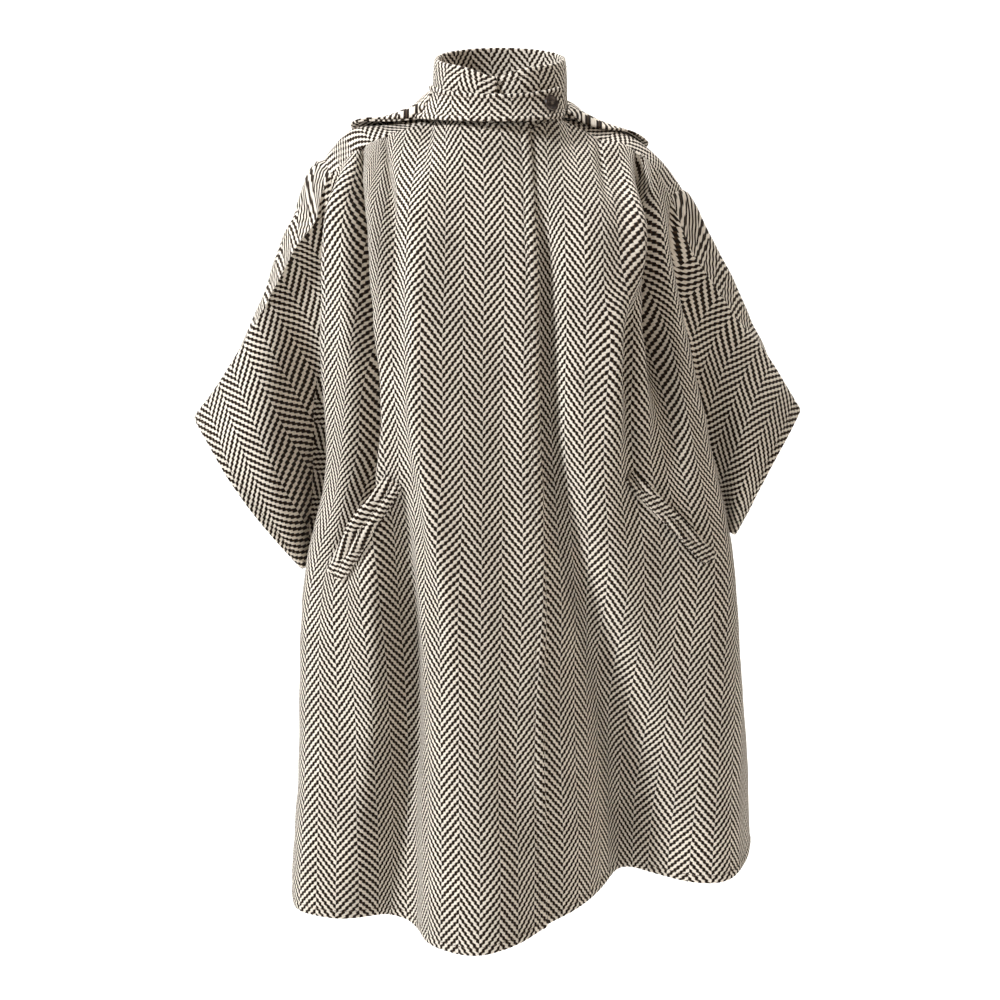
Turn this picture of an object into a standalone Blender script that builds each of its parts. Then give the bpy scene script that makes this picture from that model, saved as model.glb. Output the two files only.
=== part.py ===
"""Hooded cape of heavy wool, worn and hollow, built panel by panel as it is cut and sewn.

Metres, +Z up.  The front faces -Y and the wearer's right is -X.  The origin is the middle of
the neckline, where the wearer's neck and shoulders hold the cape.  Every panel is a sheet of
points worked out from the section, shoulder and fold tables, given the cloth's thickness.
"""

import math
from collections import namedtuple

import bmesh
import bpy
import numpy as np
from mathutils import Vector

OBJECT_NAME = "hooded_cape"

# Cloth and sewing
CLOTH = 0.0024
EDGE_INSET = 0.00022
LAP_GAP = 0.0006
SAME_POINT_PLACES = 5

# Sides, by their sign along X, and faces, by their sign along Y
RIGHT, LEFT = -1, 1
FRONT, BACK = -1, 1
SIDE_NAMES = {RIGHT: "right", LEFT: "left"}

# Neckline: an oval, with the front shoulder seam starting at NECK_SEAM from the front middle
NECK_WIDE = 0.082
NECK_FRONT = 0.078
NECK_BACK = 0.070
NECK_RISE = {FRONT: -0.010, BACK: 0.012}
NECK_SEAM = math.radians(68)
NECK_SHARE = 0.40

# Levels down a panel: 0 is its top edge, 1 the underarm and 2 the hem
UNDERARM, HEM = 1.0, 2.0
UNDERARM_DROP = {RIGHT: 0.533, LEFT: 0.491}
HEM_PLACES = (-1.0, -0.5, -0.1, 0.15, 0.40, 0.70, 1.0)
HEM_DROPS = (0.938, 0.945, 0.957, 0.948, 0.918, 0.900, 0.885)
ROUNDNESS = 2.5
RING_STEPS = 65

Section = namedtuple("Section", "level right left front back edge")
SECTIONS = (
    Section(0.20, 0.192, 0.198, 0.120, 0.100, 0.034),
    Section(0.42, 0.192, 0.217, 0.146, 0.126, 0.026),
    Section(0.75, 0.205, 0.248, 0.150, 0.136, 0.014),
    Section(1.00, 0.236, 0.277, 0.150, 0.142, 0.002),
    Section(1.35, 0.2445, 0.294, 0.153, 0.156, 0.0),
    Section(1.70, 0.2525, 0.307, 0.157, 0.174, 0.0),
    Section(2.00, 0.2595, 0.316, 0.162, 0.192, 0.0),
)

# Shoulders: the front seam from the neck to the armhole top, and the crest behind it
ShoulderStop = namedtuple("ShoulderStop", "reach drop forward crest_reach crest_drop")
SHOULDER = {
    RIGHT: (
        ShoulderStop(0.1360, 0.015, 0.036, 0.1390, 0.006),
        ShoulderStop(0.1670, 0.032, 0.038, 0.1720, 0.013),
        ShoulderStop(0.1987, 0.059, 0.038, 0.2155, 0.045),
    ),
    LEFT: (
        ShoulderStop(0.1210, 0.020, 0.036, 0.1260, 0.012),
        ShoulderStop(0.1505, 0.027, 0.038, 0.1560, 0.021),
        ShoulderStop(0.1800, 0.047, 0.039, 0.1860, 0.040),
        ShoulderStop(0.2023, 0.084, 0.037, 0.2180, 0.080),
    ),
}
CREST_LEVEL = 0.09
CREST_NECK_WIDE = 0.093
CREST_NECK_BACK = 0.089
CREST_NECK_RISE = 0.001
CREST_BACK_RISE = 0.003

# Over-arm seam, from the armhole top to the sleeve's tip
ArmStop = namedtuple("ArmStop", "reach drop forward")
OVER_ARM = {
    RIGHT: (
        ArmStop(0.2105, 0.082, 0.036),
        ArmStop(0.2170, 0.112, 0.034),
        ArmStop(0.2410, 0.137, 0.026),
        ArmStop(0.2640, 0.172, 0.008),
        ArmStop(0.2865, 0.2205, 0.0),
        ArmStop(0.3200, 0.276, 0.0),
        ArmStop(0.3720, 0.3525, 0.0),
    ),
    LEFT: (
        ArmStop(0.2129, 0.114, 0.035),
        ArmStop(0.2293, 0.152, 0.030),
        ArmStop(0.2628, 0.2006, 0.020),
        ArmStop(0.2877, 0.2427, 0.010),
        ArmStop(0.3080, 0.2640, 0.0),
        ArmStop(0.3360, 0.3035, 0.0),
        ArmStop(0.3670, 0.3415, 0.0),
    ),
}
SLEEVE_BOW = {RIGHT: 0.010, LEFT: 0.001}
SLEEVE_SWELL = {FRONT: 0.030, BACK: 0.055}
SLEEVE_END = 0.012
SLEEVE_CROWN = {RIGHT: 0.022, LEFT: 0.011}
SLEEVE_CROWN_PLACE = 0.86
SLEEVE_CROWN_WIDTH = 0.12
SLEEVE_CROWN_RISE = 0.5

# Folds: place across the panel, depth and half-width at each of FOLD_LEVELS
FOLD_LEVELS = (0.0, 0.42, 1.0, 2.0)
FOLD_FADE = 0.06
Fold = namedtuple("Fold", "name place depth width")
FOLDS = {
    FRONT: (
        Fold("tuck_right", (-0.52, -0.50, -0.44, -0.40), (0.0, -0.008, 0.0, 0.0),
             (0.04, 0.05, 0.08, 0.08)),
        Fold("cleft_right", (-0.70, -0.64, -0.46, -0.42), (0.0, -0.040, -0.016, -0.036),
             (0.05, 0.075, 0.10, 0.14)),
        Fold("ridge_right", (-0.88, -0.84, -0.80, -0.82), (0.0, 0.033, 0.018, 0.0),
             (0.07, 0.11, 0.12, 0.12)),
        Fold("lobe_right", (-0.40, -0.36, -0.18, -0.08), (0.0, 0.010, 0.018, 0.066),
             (0.10, 0.12, 0.15, 0.18)),
        Fold("valley_middle", (0.0, 0.02, 0.05, 0.15), (0.0, -0.004, -0.010, -0.024),
             (0.06, 0.07, 0.08, 0.09)),
        Fold("ridge_left", (0.40, 0.36, 0.32, 0.25), (0.0, 0.012, 0.008, 0.0),
             (0.10, 0.12, 0.12, 0.12)),
        Fold("valley_left", (0.24, 0.22, 0.22, 0.40), (0.0, -0.002, -0.012, -0.056),
             (0.08, 0.08, 0.09, 0.14)),
        Fold("set_back_left", (0.50, 0.50, 0.50, 0.40), (0.0, 0.0, -0.004, -0.034),
             (0.30, 0.30, 0.30, 0.36)),
        Fold("cleft_left", (0.68, 0.68, 0.60, 0.52), (0.0, -0.028, -0.010, 0.0),
             (0.05, 0.075, 0.09, 0.10)),
        Fold("ridge_outer_left", (0.88, 0.86, 0.80, 0.68), (0.0, 0.026, 0.016, 0.020),
             (0.08, 0.11, 0.12, 0.12)),
    ),
    BACK: (
        Fold("back_lobe_right", (-0.40, -0.42, -0.46, -0.58), (0.0, 0.004, 0.018, 0.034),
             (0.10, 0.11, 0.12, 0.12)),
        Fold("back_valley_right", (-0.20, -0.20, -0.22, -0.30), (0.0, -0.004, -0.016, -0.034),
             (0.08, 0.09, 0.10, 0.11)),
        Fold("back_lobe_middle", (0.0, 0.02, 0.03, 0.05), (0.0, 0.0, 0.014, 0.036),
             (0.09, 0.10, 0.12, 0.13)),
        Fold("back_valley_left", (0.26, 0.26, 0.28, 0.36), (0.0, -0.004, -0.014, -0.032),
             (0.08, 0.09, 0.10, 0.11)),
        Fold("back_lobe_left", (0.50, 0.52, 0.54, 0.66), (0.0, 0.005, 0.020, 0.034),
             (0.10, 0.11, 0.12, 0.12)),
        Fold("back_hollow_right", (-0.80, -0.80, -0.80, -0.84), (0.0, -0.004, -0.014, -0.020),
             (0.08, 0.09, 0.10, 0.10)),
        Fold("back_hollow_left", (0.82, 0.82, 0.82, 0.88), (0.0, -0.004, -0.014, -0.020),
             (0.08, 0.09, 0.10, 0.10)),
    ),
}

# Front closing: the right front laps over the left one
FRONT_EDGE = {"top": 0.150, "hem": 0.128}
LAP_RUN = 0.08
LAP_DROP = 0.018

# Collar stand: rows from the neckline up, as shares of its base oval
CollarRow = namedtuple("CollarRow", "rise wide front back")
COLLAR = 0.0030
COLLAR_SINK = 0.004
COLLAR_CLEAR = 0.0022
COLLAR_ROWS = (
    CollarRow(0.0, 1.0, 1.0, 1.0),
    CollarRow(0.45, 0.975, 1.0, 0.99),
    CollarRow(0.80, 0.92, 0.97, 0.97),
    CollarRow(1.0, 0.85, 0.92, 0.93),
)
COLLAR_TOP = {FRONT: 0.048, BACK: 0.090}
COLLAR_OPENING = math.radians(-4)
COLLAR_OPENING_GAP = 0.0003
COLLAR_DIP = 0.016
COLLAR_DIP_WIDTH = math.radians(34)

# Throat tab of the hood, buttoned across the collar
TAB_FROM, TAB_TO = math.radians(-62), math.radians(57)
TAB_BOTTOM, TAB_TOP = -0.002, 0.041
TAB_END_RISE = 0.011
TAB_SEAT = 0.0005
TAB_FLARE = 0.010

# Tab button
BUTTON_RADIUS = 0.0095
BUTTON_DISH = 0.0062
BUTTON_THICK = 0.0030
BUTTON_RIM = 0.0006
BUTTON_HOLE = 0.0010
BUTTON_HOLE_PITCH = 0.0019
BUTTON_HOLE_REACH = 0.009
BUTTON_HOLE_STEPS = 10
BUTTON_ANGLE = math.radians(42)
BUTTON_SHARE = 0.52
BUTTON_PROBE = 0.01
BUTTON_SEAT = 0.0005
BUTTON_STEPS = 32
BUTTON_MERGE = 0.00001

# Hood, lying back: tables run from the back middle (0) to the shoulder seam (1)
HOOD_STOPS = (0.0, 0.35, 0.70, 1.0)
HOOD_FOLD_PLACE = (0.0, 0.30, 0.62, 0.78)
HOOD_FOLD_LEVEL = (0.58, 0.50, 0.26, 0.08)
HOOD_EDGE_LIFT = (0.026, 0.028, 0.034, 0.036)
HOOD_EDGE_LEAN = 0.16
HOOD_RELAX = 3
HOOD_EDGE_RUN = 0.20
HOOD_POUCH = (0.040, 0.034, 0.017, 0.008)
HOOD_NECK_CLEAR = 0.0046
HOOD_CLEAR = 0.0072
HOOD_CLEAR_RUN = 0.07

# Pocket welts: ends across (place) and down (level) the front, and how far the mouth gapes
Welt = namedtuple("Welt", "upper_place upper_level lower_place lower_level wide gape gap")
WELTS = {
    RIGHT: Welt(-0.450, 0.800, -0.720, 1.000, 0.023, 0.012, 0.0025),
    LEFT: Welt(0.440, 0.800, 0.720, 1.005, 0.019, 0.0, 0.0008),
}
WELT_CLOTH = 0.0022
PLACE_LENGTH = 0.33
LEVEL_LENGTH = 0.50

# Sheet divisions
SHOULDER_COLUMNS = 17
OVERLAP_COLUMNS = 12
UNDERLAP_COLUMNS = 4
LEFT_NECK_COLUMNS = 6
BACK_NECK_COLUMNS = 9
ARMHOLE_ROWS = 9
LOWER_ROWS = 9
SLEEVE_ROWS = 7
BACK_LEVELS = (0.0, 0.03, 0.06, 0.09, 0.14, 0.21, 0.32, 0.46, 0.64, 0.82, 1.0)
COLLAR_COLUMNS = 44
COLLAR_STEPS = 6
HOOD_COLUMNS = 30
HOOD_DOWN = (0.0, 0.04, 0.09, 0.16, 0.26, 0.40, 0.58, 0.80, 1.0)
TAB_COLUMNS = 22
TAB_STEPS = 4
WELT_COLUMNS = 14
WELT_STEPS = 3

Finish = namedtuple("Finish", "name colour roughness")
TWEED = Finish("wool_tweed", (0.30, 0.27, 0.23), 0.95)
HORN = Finish("dark_horn", (0.020, 0.011, 0.008), 0.35)

Sheet = namedtuple("Sheet", "name points outward")


def blend(knots, at):
    """Knot before each place, and the four weights of a smooth curve there."""
    cell = np.clip(np.searchsorted(knots, at, side="right") - 1, 0, len(knots) - 2)
    span = knots[cell + 1] - knots[cell]
    part = np.clip((at - knots[cell]) / span, 0.0, 1.0)
    leave = (1 + 2 * part) * (1 - part) ** 2
    leave_slope = part * (1 - part) ** 2 * span
    arrive = part ** 2 * (3 - 2 * part)
    arrive_slope = part ** 2 * (part - 1) * span
    return cell, (leave, leave_slope, arrive, arrive_slope)


def smooth(knots, values, at):
    """Read, at the places `at`, a smooth curve through values given at rising knots."""
    knots = np.asarray(knots, float)
    values = np.asarray(values, float)
    slopes = np.gradient(values, knots, axis=0)
    cell, weights = blend(knots, np.asarray(at, float))
    weights = [weight.reshape(weight.shape + (1,) * (values.ndim - 1)) for weight in weights]
    terms = (values[cell], slopes[cell], values[cell + 1], slopes[cell + 1])
    return sum(weight * term for weight, term in zip(weights, terms))


def down_lines(knots, lines, at):
    """Read each of many lines, given at shared knots, at a place of its own."""
    slopes = np.gradient(lines, knots, axis=0)
    cell, weights = blend(knots, at)
    own = np.arange(len(at))
    terms = (lines[cell, own], slopes[cell, own], lines[cell + 1, own], slopes[cell + 1, own])
    return sum(weight[:, None] * term for weight, term in zip(weights, terms))


def along(points, shares):
    """Points at the given shares of the length of a smooth curve through a few points."""
    points = np.asarray(points, float)
    run = np.concatenate([[0.0], np.cumsum(np.linalg.norm(np.diff(points, axis=0), axis=1))])
    return smooth(run / run[-1], points, shares)


def unit(vectors):
    """Vectors scaled to length one."""
    return vectors / np.linalg.norm(vectors, axis=-1, keepdims=True)


def ring(width, depth, edge, shares):
    """Quarter oval from a panel's middle to its side: reach along X and distance along Y."""
    angle = np.linspace(0.0, math.pi / 2, RING_STEPS)
    reach = width * np.sin(angle) ** (2 / ROUNDNESS)
    away = edge + (depth - edge) * np.cos(angle) ** (2 / ROUNDNESS)
    run = np.concatenate([[0.0], np.cumsum(np.hypot(np.diff(reach), np.diff(away)))])
    return np.interp(shares, run / run[-1], reach), np.interp(shares, run / run[-1], away)


def neck_point(angle, side):
    """Point of the neckline at an angle from the front middle."""
    depth = np.where(np.cos(angle) > 0, NECK_FRONT, NECK_BACK)
    middle_rise = (NECK_RISE[FRONT] + NECK_RISE[BACK]) / 2
    rise = middle_rise - (NECK_RISE[BACK] - middle_rise) * np.cos(angle)
    return np.stack([side * NECK_WIDE * np.sin(angle), -depth * np.cos(angle), rise], axis=-1)


def shoulder_seam(side):
    """Points of the front shoulder seam, from the neck to the armhole top."""
    neck = neck_point(np.array(NECK_SEAM), side)
    return [neck] + [np.array([side * stop.reach, -stop.forward, -stop.drop]) for stop in SHOULDER[side]]


def shoulder_crest(side):
    """Points of the shoulder's crest, from the neck to above the armhole top."""
    neck = np.array([side * CREST_NECK_WIDE, 0.0, CREST_NECK_RISE])
    return [neck] + [np.array([side * stop.crest_reach, 0.0, -stop.crest_drop]) for stop in SHOULDER[side]]


def beyond_neck(place):
    """Share of the shoulder that a place lies along, from the neck to the armhole top."""
    return np.clip((place - NECK_SHARE) / (1 - NECK_SHARE), 0.0, 1.0)


def top_edge(face, place, side):
    """Top edge of a front or of the back, at places across one side of it."""
    share = np.clip(place / NECK_SHARE, 0.0, 1.0)
    middle = 0.0 if face == FRONT else math.pi
    neck = neck_point(middle + (NECK_SEAM - middle) * share, side)
    seam = along(shoulder_seam(side), beyond_neck(place))
    return np.where((place > NECK_SHARE)[..., None], seam, neck)


def crest_edge(place, side):
    """Line of the back panel that runs over the shoulder's crest and round behind the neck."""
    share = np.clip(place / NECK_SHARE, 0.0, 1.0)
    angle = math.pi * (1 - share / 2)
    rise = CREST_BACK_RISE + (CREST_NECK_RISE - CREST_BACK_RISE) * share
    reach = side * CREST_NECK_WIDE * np.sin(angle)
    neck = np.stack([reach, -CREST_NECK_BACK * np.cos(angle), rise], axis=-1)
    crest = along(shoulder_crest(side), beyond_neck(place))
    return np.where((place > NECK_SHARE)[..., None], crest, neck)


def level_rise(hang, place, side, level):
    """Height of a level at a place across one side: level 1 is the underarm and 2 the hem."""
    middle_drop = (UNDERARM_DROP[RIGHT] + UNDERARM_DROP[LEFT]) / 2
    underarm = -(middle_drop + (UNDERARM_DROP[side] - middle_drop) * place)
    hem = -smooth(HEM_PLACES, HEM_DROPS, side * place)
    upper = hang + (underarm - hang) * min(level, UNDERARM)
    return upper + (hem - underarm) * max(level - UNDERARM, 0.0)


def side_lines(face, place, side):
    """Levels, and the points there, of the lines that run down one side of a panel."""
    levels = [0.0]
    lines = [top_edge(face, place, side)]
    if face == BACK:
        levels.append(CREST_LEVEL)
        lines.append(crest_edge(place, side))
    hang = lines[-1][..., 2]
    for section in SECTIONS:
        width = section.right if side == RIGHT else section.left
        depth = section.front if face == FRONT else section.back
        reach, away = ring(width, depth, section.edge, place)
        rise = level_rise(hang, place, side, section.level)
        lines.append(np.stack([side * reach, face * away, rise], axis=-1))
        levels.append(section.level)
    return np.array(levels), np.array(lines)


def fold_height(face, place, level):
    """How far the folds lift the cloth at signed places and levels of a panel."""
    height = np.zeros_like(place)
    for fold in FOLDS[face]:
        centre = smooth(FOLD_LEVELS, fold.place, level)
        depth = smooth(FOLD_LEVELS, fold.depth, level)
        width = smooth(FOLD_LEVELS, fold.width, level)
        height += depth * np.exp(-((place - centre) / width) ** 2)
    return height * np.minimum(1.0, (1.0 - np.abs(place)) / FOLD_FADE)


def sheet_normals(points, outward):
    """Normals of a sheet of points, on the side that `outward` points to at its middle."""
    normals = unit(np.cross(np.gradient(points, axis=1), np.gradient(points, axis=0)))
    middle = normals[points.shape[0] // 2, points.shape[1] // 2]
    return normals if np.dot(middle, outward) > 0 else -normals


def body_points(face, place, level):
    """Sheet of the front or back at signed places (-1 to 1) and levels (0 to 2)."""
    flat_place = place.ravel()
    flat_level = level.ravel()
    flat = np.zeros((flat_place.size, 3))
    for side in (RIGHT, LEFT):
        chosen = (flat_place <= 0) if side == RIGHT else (flat_place > 0)
        if chosen.any():
            levels, lines = side_lines(face, np.abs(flat_place[chosen]), side)
            flat[chosen] = down_lines(levels, lines, flat_level[chosen])
    hanging = flat_level > UNDERARM
    flat[hanging, 1] = face * np.maximum(face * flat[hanging, 1], 0.0)
    points = flat.reshape(place.shape + (3,))
    normals = sheet_normals(points, (0.0, face, 0.0))
    return points + normals * fold_height(face, place, level)[..., None]


def closing_edge(level):
    """Place of the right front's closing edge at each level."""
    return FRONT_EDGE["top"] + (FRONT_EDGE["hem"] - FRONT_EDGE["top"]) * level / HEM


def front_sheet(side, levels):
    """Sheet of one front, from its side seam to its own edge at the closing."""
    level = np.asarray(levels)[:, None]
    edge = closing_edge(level)
    shoulder = np.repeat(np.linspace(1.0, NECK_SHARE, SHOULDER_COLUMNS + 1)[None, :-1], len(levels), axis=0)
    lap = np.linspace(0.0, 1.0, OVERLAP_COLUMNS + 1) * (NECK_SHARE + edge) - NECK_SHARE
    if side == RIGHT:
        place = np.concatenate([-shoulder, lap], axis=1)
    else:
        rest = edge + np.linspace(0.0, 1.0, LEFT_NECK_COLUMNS + 1)[None, 1:] * (NECK_SHARE - edge)
        place = np.concatenate([lap[:, -1 - UNDERLAP_COLUMNS:], rest, shoulder[:, ::-1]], axis=1)
    level = np.repeat(level, place.shape[1], axis=1)
    if side == RIGHT:
        return body_points(FRONT, place, level)
    under = np.clip((edge + LAP_RUN - place) / LAP_RUN, 0.0, 1.0)
    ease = under ** 2 * (3 - 2 * under)
    points = body_points(FRONT, place, np.maximum(level, LAP_DROP * ease))
    return points - sheet_normals(points, (0.0, FRONT, 0.0)) * (CLOTH + LAP_GAP) * ease[..., None]


def back_sheet(levels):
    """Sheet of the back, which wraps over both shoulders to the front seams."""
    shoulder = np.linspace(1.0, NECK_SHARE, SHOULDER_COLUMNS + 1)[:-1]
    neck = np.linspace(NECK_SHARE, 0.0, BACK_NECK_COLUMNS + 1)
    half = np.concatenate([shoulder, neck])
    place, level = np.meshgrid(np.concatenate([-half, half[-2::-1]]), np.asarray(levels))
    return body_points(BACK, place, level)


def over_arm(side, armhole_top, shares):
    """Points of the over-arm seam, from the armhole top to the sleeve's tip."""
    stops = [np.array([side * stop.reach, -stop.forward, -stop.drop]) for stop in OVER_ARM[side]]
    return along([armhole_top] + stops, shares)


def sleeve_sheet(side, face, armhole):
    """Sheet of one sleeve half: from the armhole, underarm to top, out to the open hem."""
    shares = np.linspace(0.0, 1.0, SLEEVE_ROWS + 1)
    seam = over_arm(side, armhole[-1], shares)
    run = np.concatenate([[0.0], np.cumsum(np.linalg.norm(np.diff(armhole, axis=0), axis=1))])
    rise = (run / run[-1])[:, None]
    start = armhole[0] + np.array([side * SLEEVE_END, 0.0, -SLEEVE_END / 2])
    bow = np.array([side, 0.0, -1.0]) * SLEEVE_BOW[side] * np.sin(math.pi * rise)
    swell = np.array([0.0, face, 0.0]) * SLEEVE_SWELL[face] * np.sin(math.pi * rise)
    hem = start + (seam[-1] - start) * rise + bow + swell
    out = shares[:, None, None]
    ruled = (1 - out) * armhole + out * hem
    curve = seam[:, None, :] - ((1 - out) * armhole[-1] + out * hem[-1])
    points = ruled + rise ** 2 * curve
    if face == BACK:
        fade = (1 - rise) / (1 - SLEEVE_CROWN_PLACE)
        spread = np.exp(-((rise - SLEEVE_CROWN_PLACE) / SLEEVE_CROWN_WIDTH) ** 2) * fade
        crown = SLEEVE_CROWN[side] * np.sin(math.pi * np.sqrt(out)) * spread
        points = points + crown * np.array([side, 0.0, SLEEVE_CROWN_RISE])
    return points


def collar_ends(angle):
    """Heights of the collar stand's base and rim at an angle from the front."""
    base = neck_point(angle, LEFT)[..., 2] - COLLAR_SINK
    middle_top = (COLLAR_TOP[FRONT] + COLLAR_TOP[BACK]) / 2
    turn = np.arctan2(np.sin(angle - COLLAR_OPENING), np.cos(angle - COLLAR_OPENING))
    dip = COLLAR_DIP * np.exp(-(turn / COLLAR_DIP_WIDTH) ** 2)
    return base, middle_top - (COLLAR_TOP[BACK] - middle_top) * np.cos(angle) - dip


def collar_point(angle, share, out=0.0):
    """Point at an angle from the front and a share of the collar's height, moved out from it."""
    knots = [row.rise for row in COLLAR_ROWS]
    inner = COLLAR_CLEAR + COLLAR / 2
    wide = smooth(knots, [row.wide for row in COLLAR_ROWS], share) * (NECK_WIDE - inner) + out
    front = smooth(knots, [row.front for row in COLLAR_ROWS], share) * (NECK_FRONT - inner) + out
    back = smooth(knots, [row.back for row in COLLAR_ROWS], share) * (NECK_BACK - inner) + out
    depth = np.where(np.cos(angle) > 0, front, back)
    base, top = collar_ends(angle)
    return np.stack([wide * np.sin(angle), -depth * np.cos(angle), base + (top - base) * share], axis=-1)


def collar_sheet():
    """Sheet of the collar stand, once round from its front opening."""
    gap = COLLAR_OPENING_GAP / NECK_FRONT
    turn = np.linspace(COLLAR_OPENING + gap, COLLAR_OPENING + 2 * math.pi - gap, COLLAR_COLUMNS + 1)
    angle, share = np.meshgrid(turn, np.linspace(1.0, 0.0, COLLAR_STEPS + 1))
    return collar_point(angle, share)


def tab_point(angle, share):
    """Point of the throat tab: it lies on the collar stand, and flares at its lower edge."""
    toward_end = (angle / TAB_FROM) ** 2
    bottom = TAB_BOTTOM + TAB_END_RISE * toward_end
    height = neck_point(angle, LEFT)[..., 2] + bottom + (TAB_TOP - bottom) * share
    base, top = collar_ends(angle)
    flare = TAB_FLARE * (1 - share) ** 2 * (1 - toward_end)
    return collar_point(angle, (height - base) / (top - base), COLLAR / 2 + TAB_SEAT + CLOTH / 2 + flare)


def tab_sheet():
    """Sheet of the throat tab, from the hood's right end across the collar."""
    turn = np.linspace(TAB_FROM, TAB_TO, TAB_COLUMNS + 1)
    angle, share = np.meshgrid(turn, np.linspace(1.0, 0.0, TAB_STEPS + 1))
    return tab_point(angle, share)


def relax(points, rounds):
    """Sheet evened out by drawing each inner point half way to the mean of its neighbours."""
    eased = points.copy()
    for _ in range(rounds):
        around = eased[:-2, 1:-1] + eased[2:, 1:-1] + eased[1:-1, :-2] + eased[1:-1, 2:]
        eased[1:-1, 1:-1] = (eased[1:-1, 1:-1] + around / 4) / 2
    return eased


def hood_sheet():
    """Sheet of the hood: an under layer on the back, a fold, and an upper layer to the face edge."""
    spread = np.linspace(-1.0, 1.0, HOOD_COLUMNS + 1)[None, :]
    down = np.array(HOOD_DOWN)[:, None]
    stop = np.abs(spread)
    start = NECK_SHARE * stop
    end = smooth(HOOD_STOPS, HOOD_FOLD_PLACE, stop)
    place = np.sign(spread) * (start + (end - start) * down)
    level = down * smooth(HOOD_STOPS, HOOD_FOLD_LEVEL, stop)
    under = body_points(BACK, place, level)
    normals = sheet_normals(under, (0.0, BACK, 1.0))
    near_neck = np.exp(-(down / HOOD_EDGE_RUN) ** 2)
    lift = smooth(HOOD_STOPS, HOOD_EDGE_LIFT, stop) * near_neck
    pouch = smooth(HOOD_STOPS, HOOD_POUCH, stop) * (1 - near_neck) * np.sqrt(1 - down ** 4)
    clear = HOOD_CLEAR + (HOOD_NECK_CLEAR - HOOD_CLEAR) * np.exp(-(down / HOOD_CLEAR_RUN) ** 2)
    radial = unit(under * (1.0, 1.0, 0.0))
    upward = unit(radial * HOOD_EDGE_LEAN + (0.0, 0.0, 1.0))
    low = under + (normals + (upward - normals) * near_neck[..., None]) * clear[..., None]
    high = relax(low + normals * pouch[..., None] + upward * lift[..., None], HOOD_RELAX)
    return np.concatenate([low, high[-2::-1]])


def welt_sheet(side):
    """Sheet of one pocket welt, lying on its front and gaping along its outer edge."""
    welt = WELTS[side]
    slope = np.array([(welt.lower_place - welt.upper_place) * PLACE_LENGTH,
                      (welt.lower_level - welt.upper_level) * LEVEL_LENGTH])
    aside = welt.wide * np.array([-slope[1], slope[0]]) / np.hypot(*slope) * -side
    share = np.linspace(0.0, 1.0, WELT_COLUMNS + 1)[None, :]
    out = np.linspace(0.5, -0.5, WELT_STEPS + 1)[:, None]
    place = welt.upper_place + (welt.lower_place - welt.upper_place) * share + out * aside[0] / PLACE_LENGTH
    level = welt.upper_level + (welt.lower_level - welt.upper_level) * share + out * aside[1] / LEVEL_LENGTH
    points = body_points(FRONT, place, level)
    normals = sheet_normals(points, (0.0, FRONT, 0.0))
    gape = welt.gape * np.sin(math.pi * share) ** 2 * (out + 0.5)
    return points + normals * (CLOTH / 2 + welt.gap + WELT_CLOTH / 2 + gape)[..., None]


def seam_normals(sheets):
    """Normals of sheets sewn together, shared where two or more of them meet."""
    normals = {sheet.name: sheet_normals(sheet.points, sheet.outward) for sheet in sheets}
    meeting = {}
    for sheet in sheets:
        for point, normal in zip(sheet.points.reshape(-1, 3), normals[sheet.name].reshape(-1, 3)):
            key = tuple(np.round(point, SAME_POINT_PLACES))
            meeting[key] = meeting.get(key, 0.0) + normal
    for sheet in sheets:
        keys = np.round(sheet.points.reshape(-1, 3), SAME_POINT_PLACES)
        shared = [meeting[tuple(key)] for key in keys]
        normals[sheet.name] = unit(np.array(shared)).reshape(sheet.points.shape)
    return normals


def inset(points, normals, amount):
    """Sheet with its four edges drawn in by an amount, along the cloth."""
    drawn = points.copy()
    edges = (
        (np.s_[0], np.s_[1]),
        (np.s_[-1], np.s_[-2]),
        (np.s_[:, 0], np.s_[:, 1]),
        (np.s_[:, -1], np.s_[:, -2]),
    )
    for edge, inner in edges:
        inward = unit(np.cross(normals[edge], np.gradient(points[edge], axis=0)))
        toward = np.sum(inward * (points[inner] - points[edge]), axis=-1, keepdims=True)
        drawn[edge] += inward * np.sign(toward) * amount
    return drawn


def reading_order(corner):
    """Sorting key that takes a flat grid's corners row by row, from the top left."""
    return round(-corner.co.y, SAME_POINT_PLACES), round(corner.co.x, SAME_POINT_PLACES)


def wall(name, points, normals, thickness):
    """Closed wall of a thickness about a sheet of points."""
    shape = bmesh.new()
    rows, columns = points.shape[:2]
    for turn in (1, -1):
        layer = (points + normals * thickness / 2 * turn).reshape(-1, 3)
        made = bmesh.ops.create_grid(shape, x_segments=columns - 1, y_segments=rows - 1, size=1.0)
        corners = sorted(made["verts"], key=reading_order)
        for corner, point in zip(corners, layer):
            corner.co = point
        quads = list({face for corner in corners for face in corner.link_faces})
        cut = bmesh.ops.triangulate(shape, faces=quads, quad_method="FIXED")
        if turn < 0:
            bmesh.ops.reverse_faces(shape, faces=cut["faces"])
    rim = [edge for edge in shape.edges if edge.is_boundary]
    bmesh.ops.bridge_loops(shape, edges=rim)
    bmesh.ops.recalc_face_normals(shape, faces=shape.faces)
    mesh = bpy.data.meshes.new(name)
    shape.to_mesh(mesh)
    shape.free()
    mesh.shade_smooth()
    return bpy.data.objects.new(name, mesh)


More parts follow.
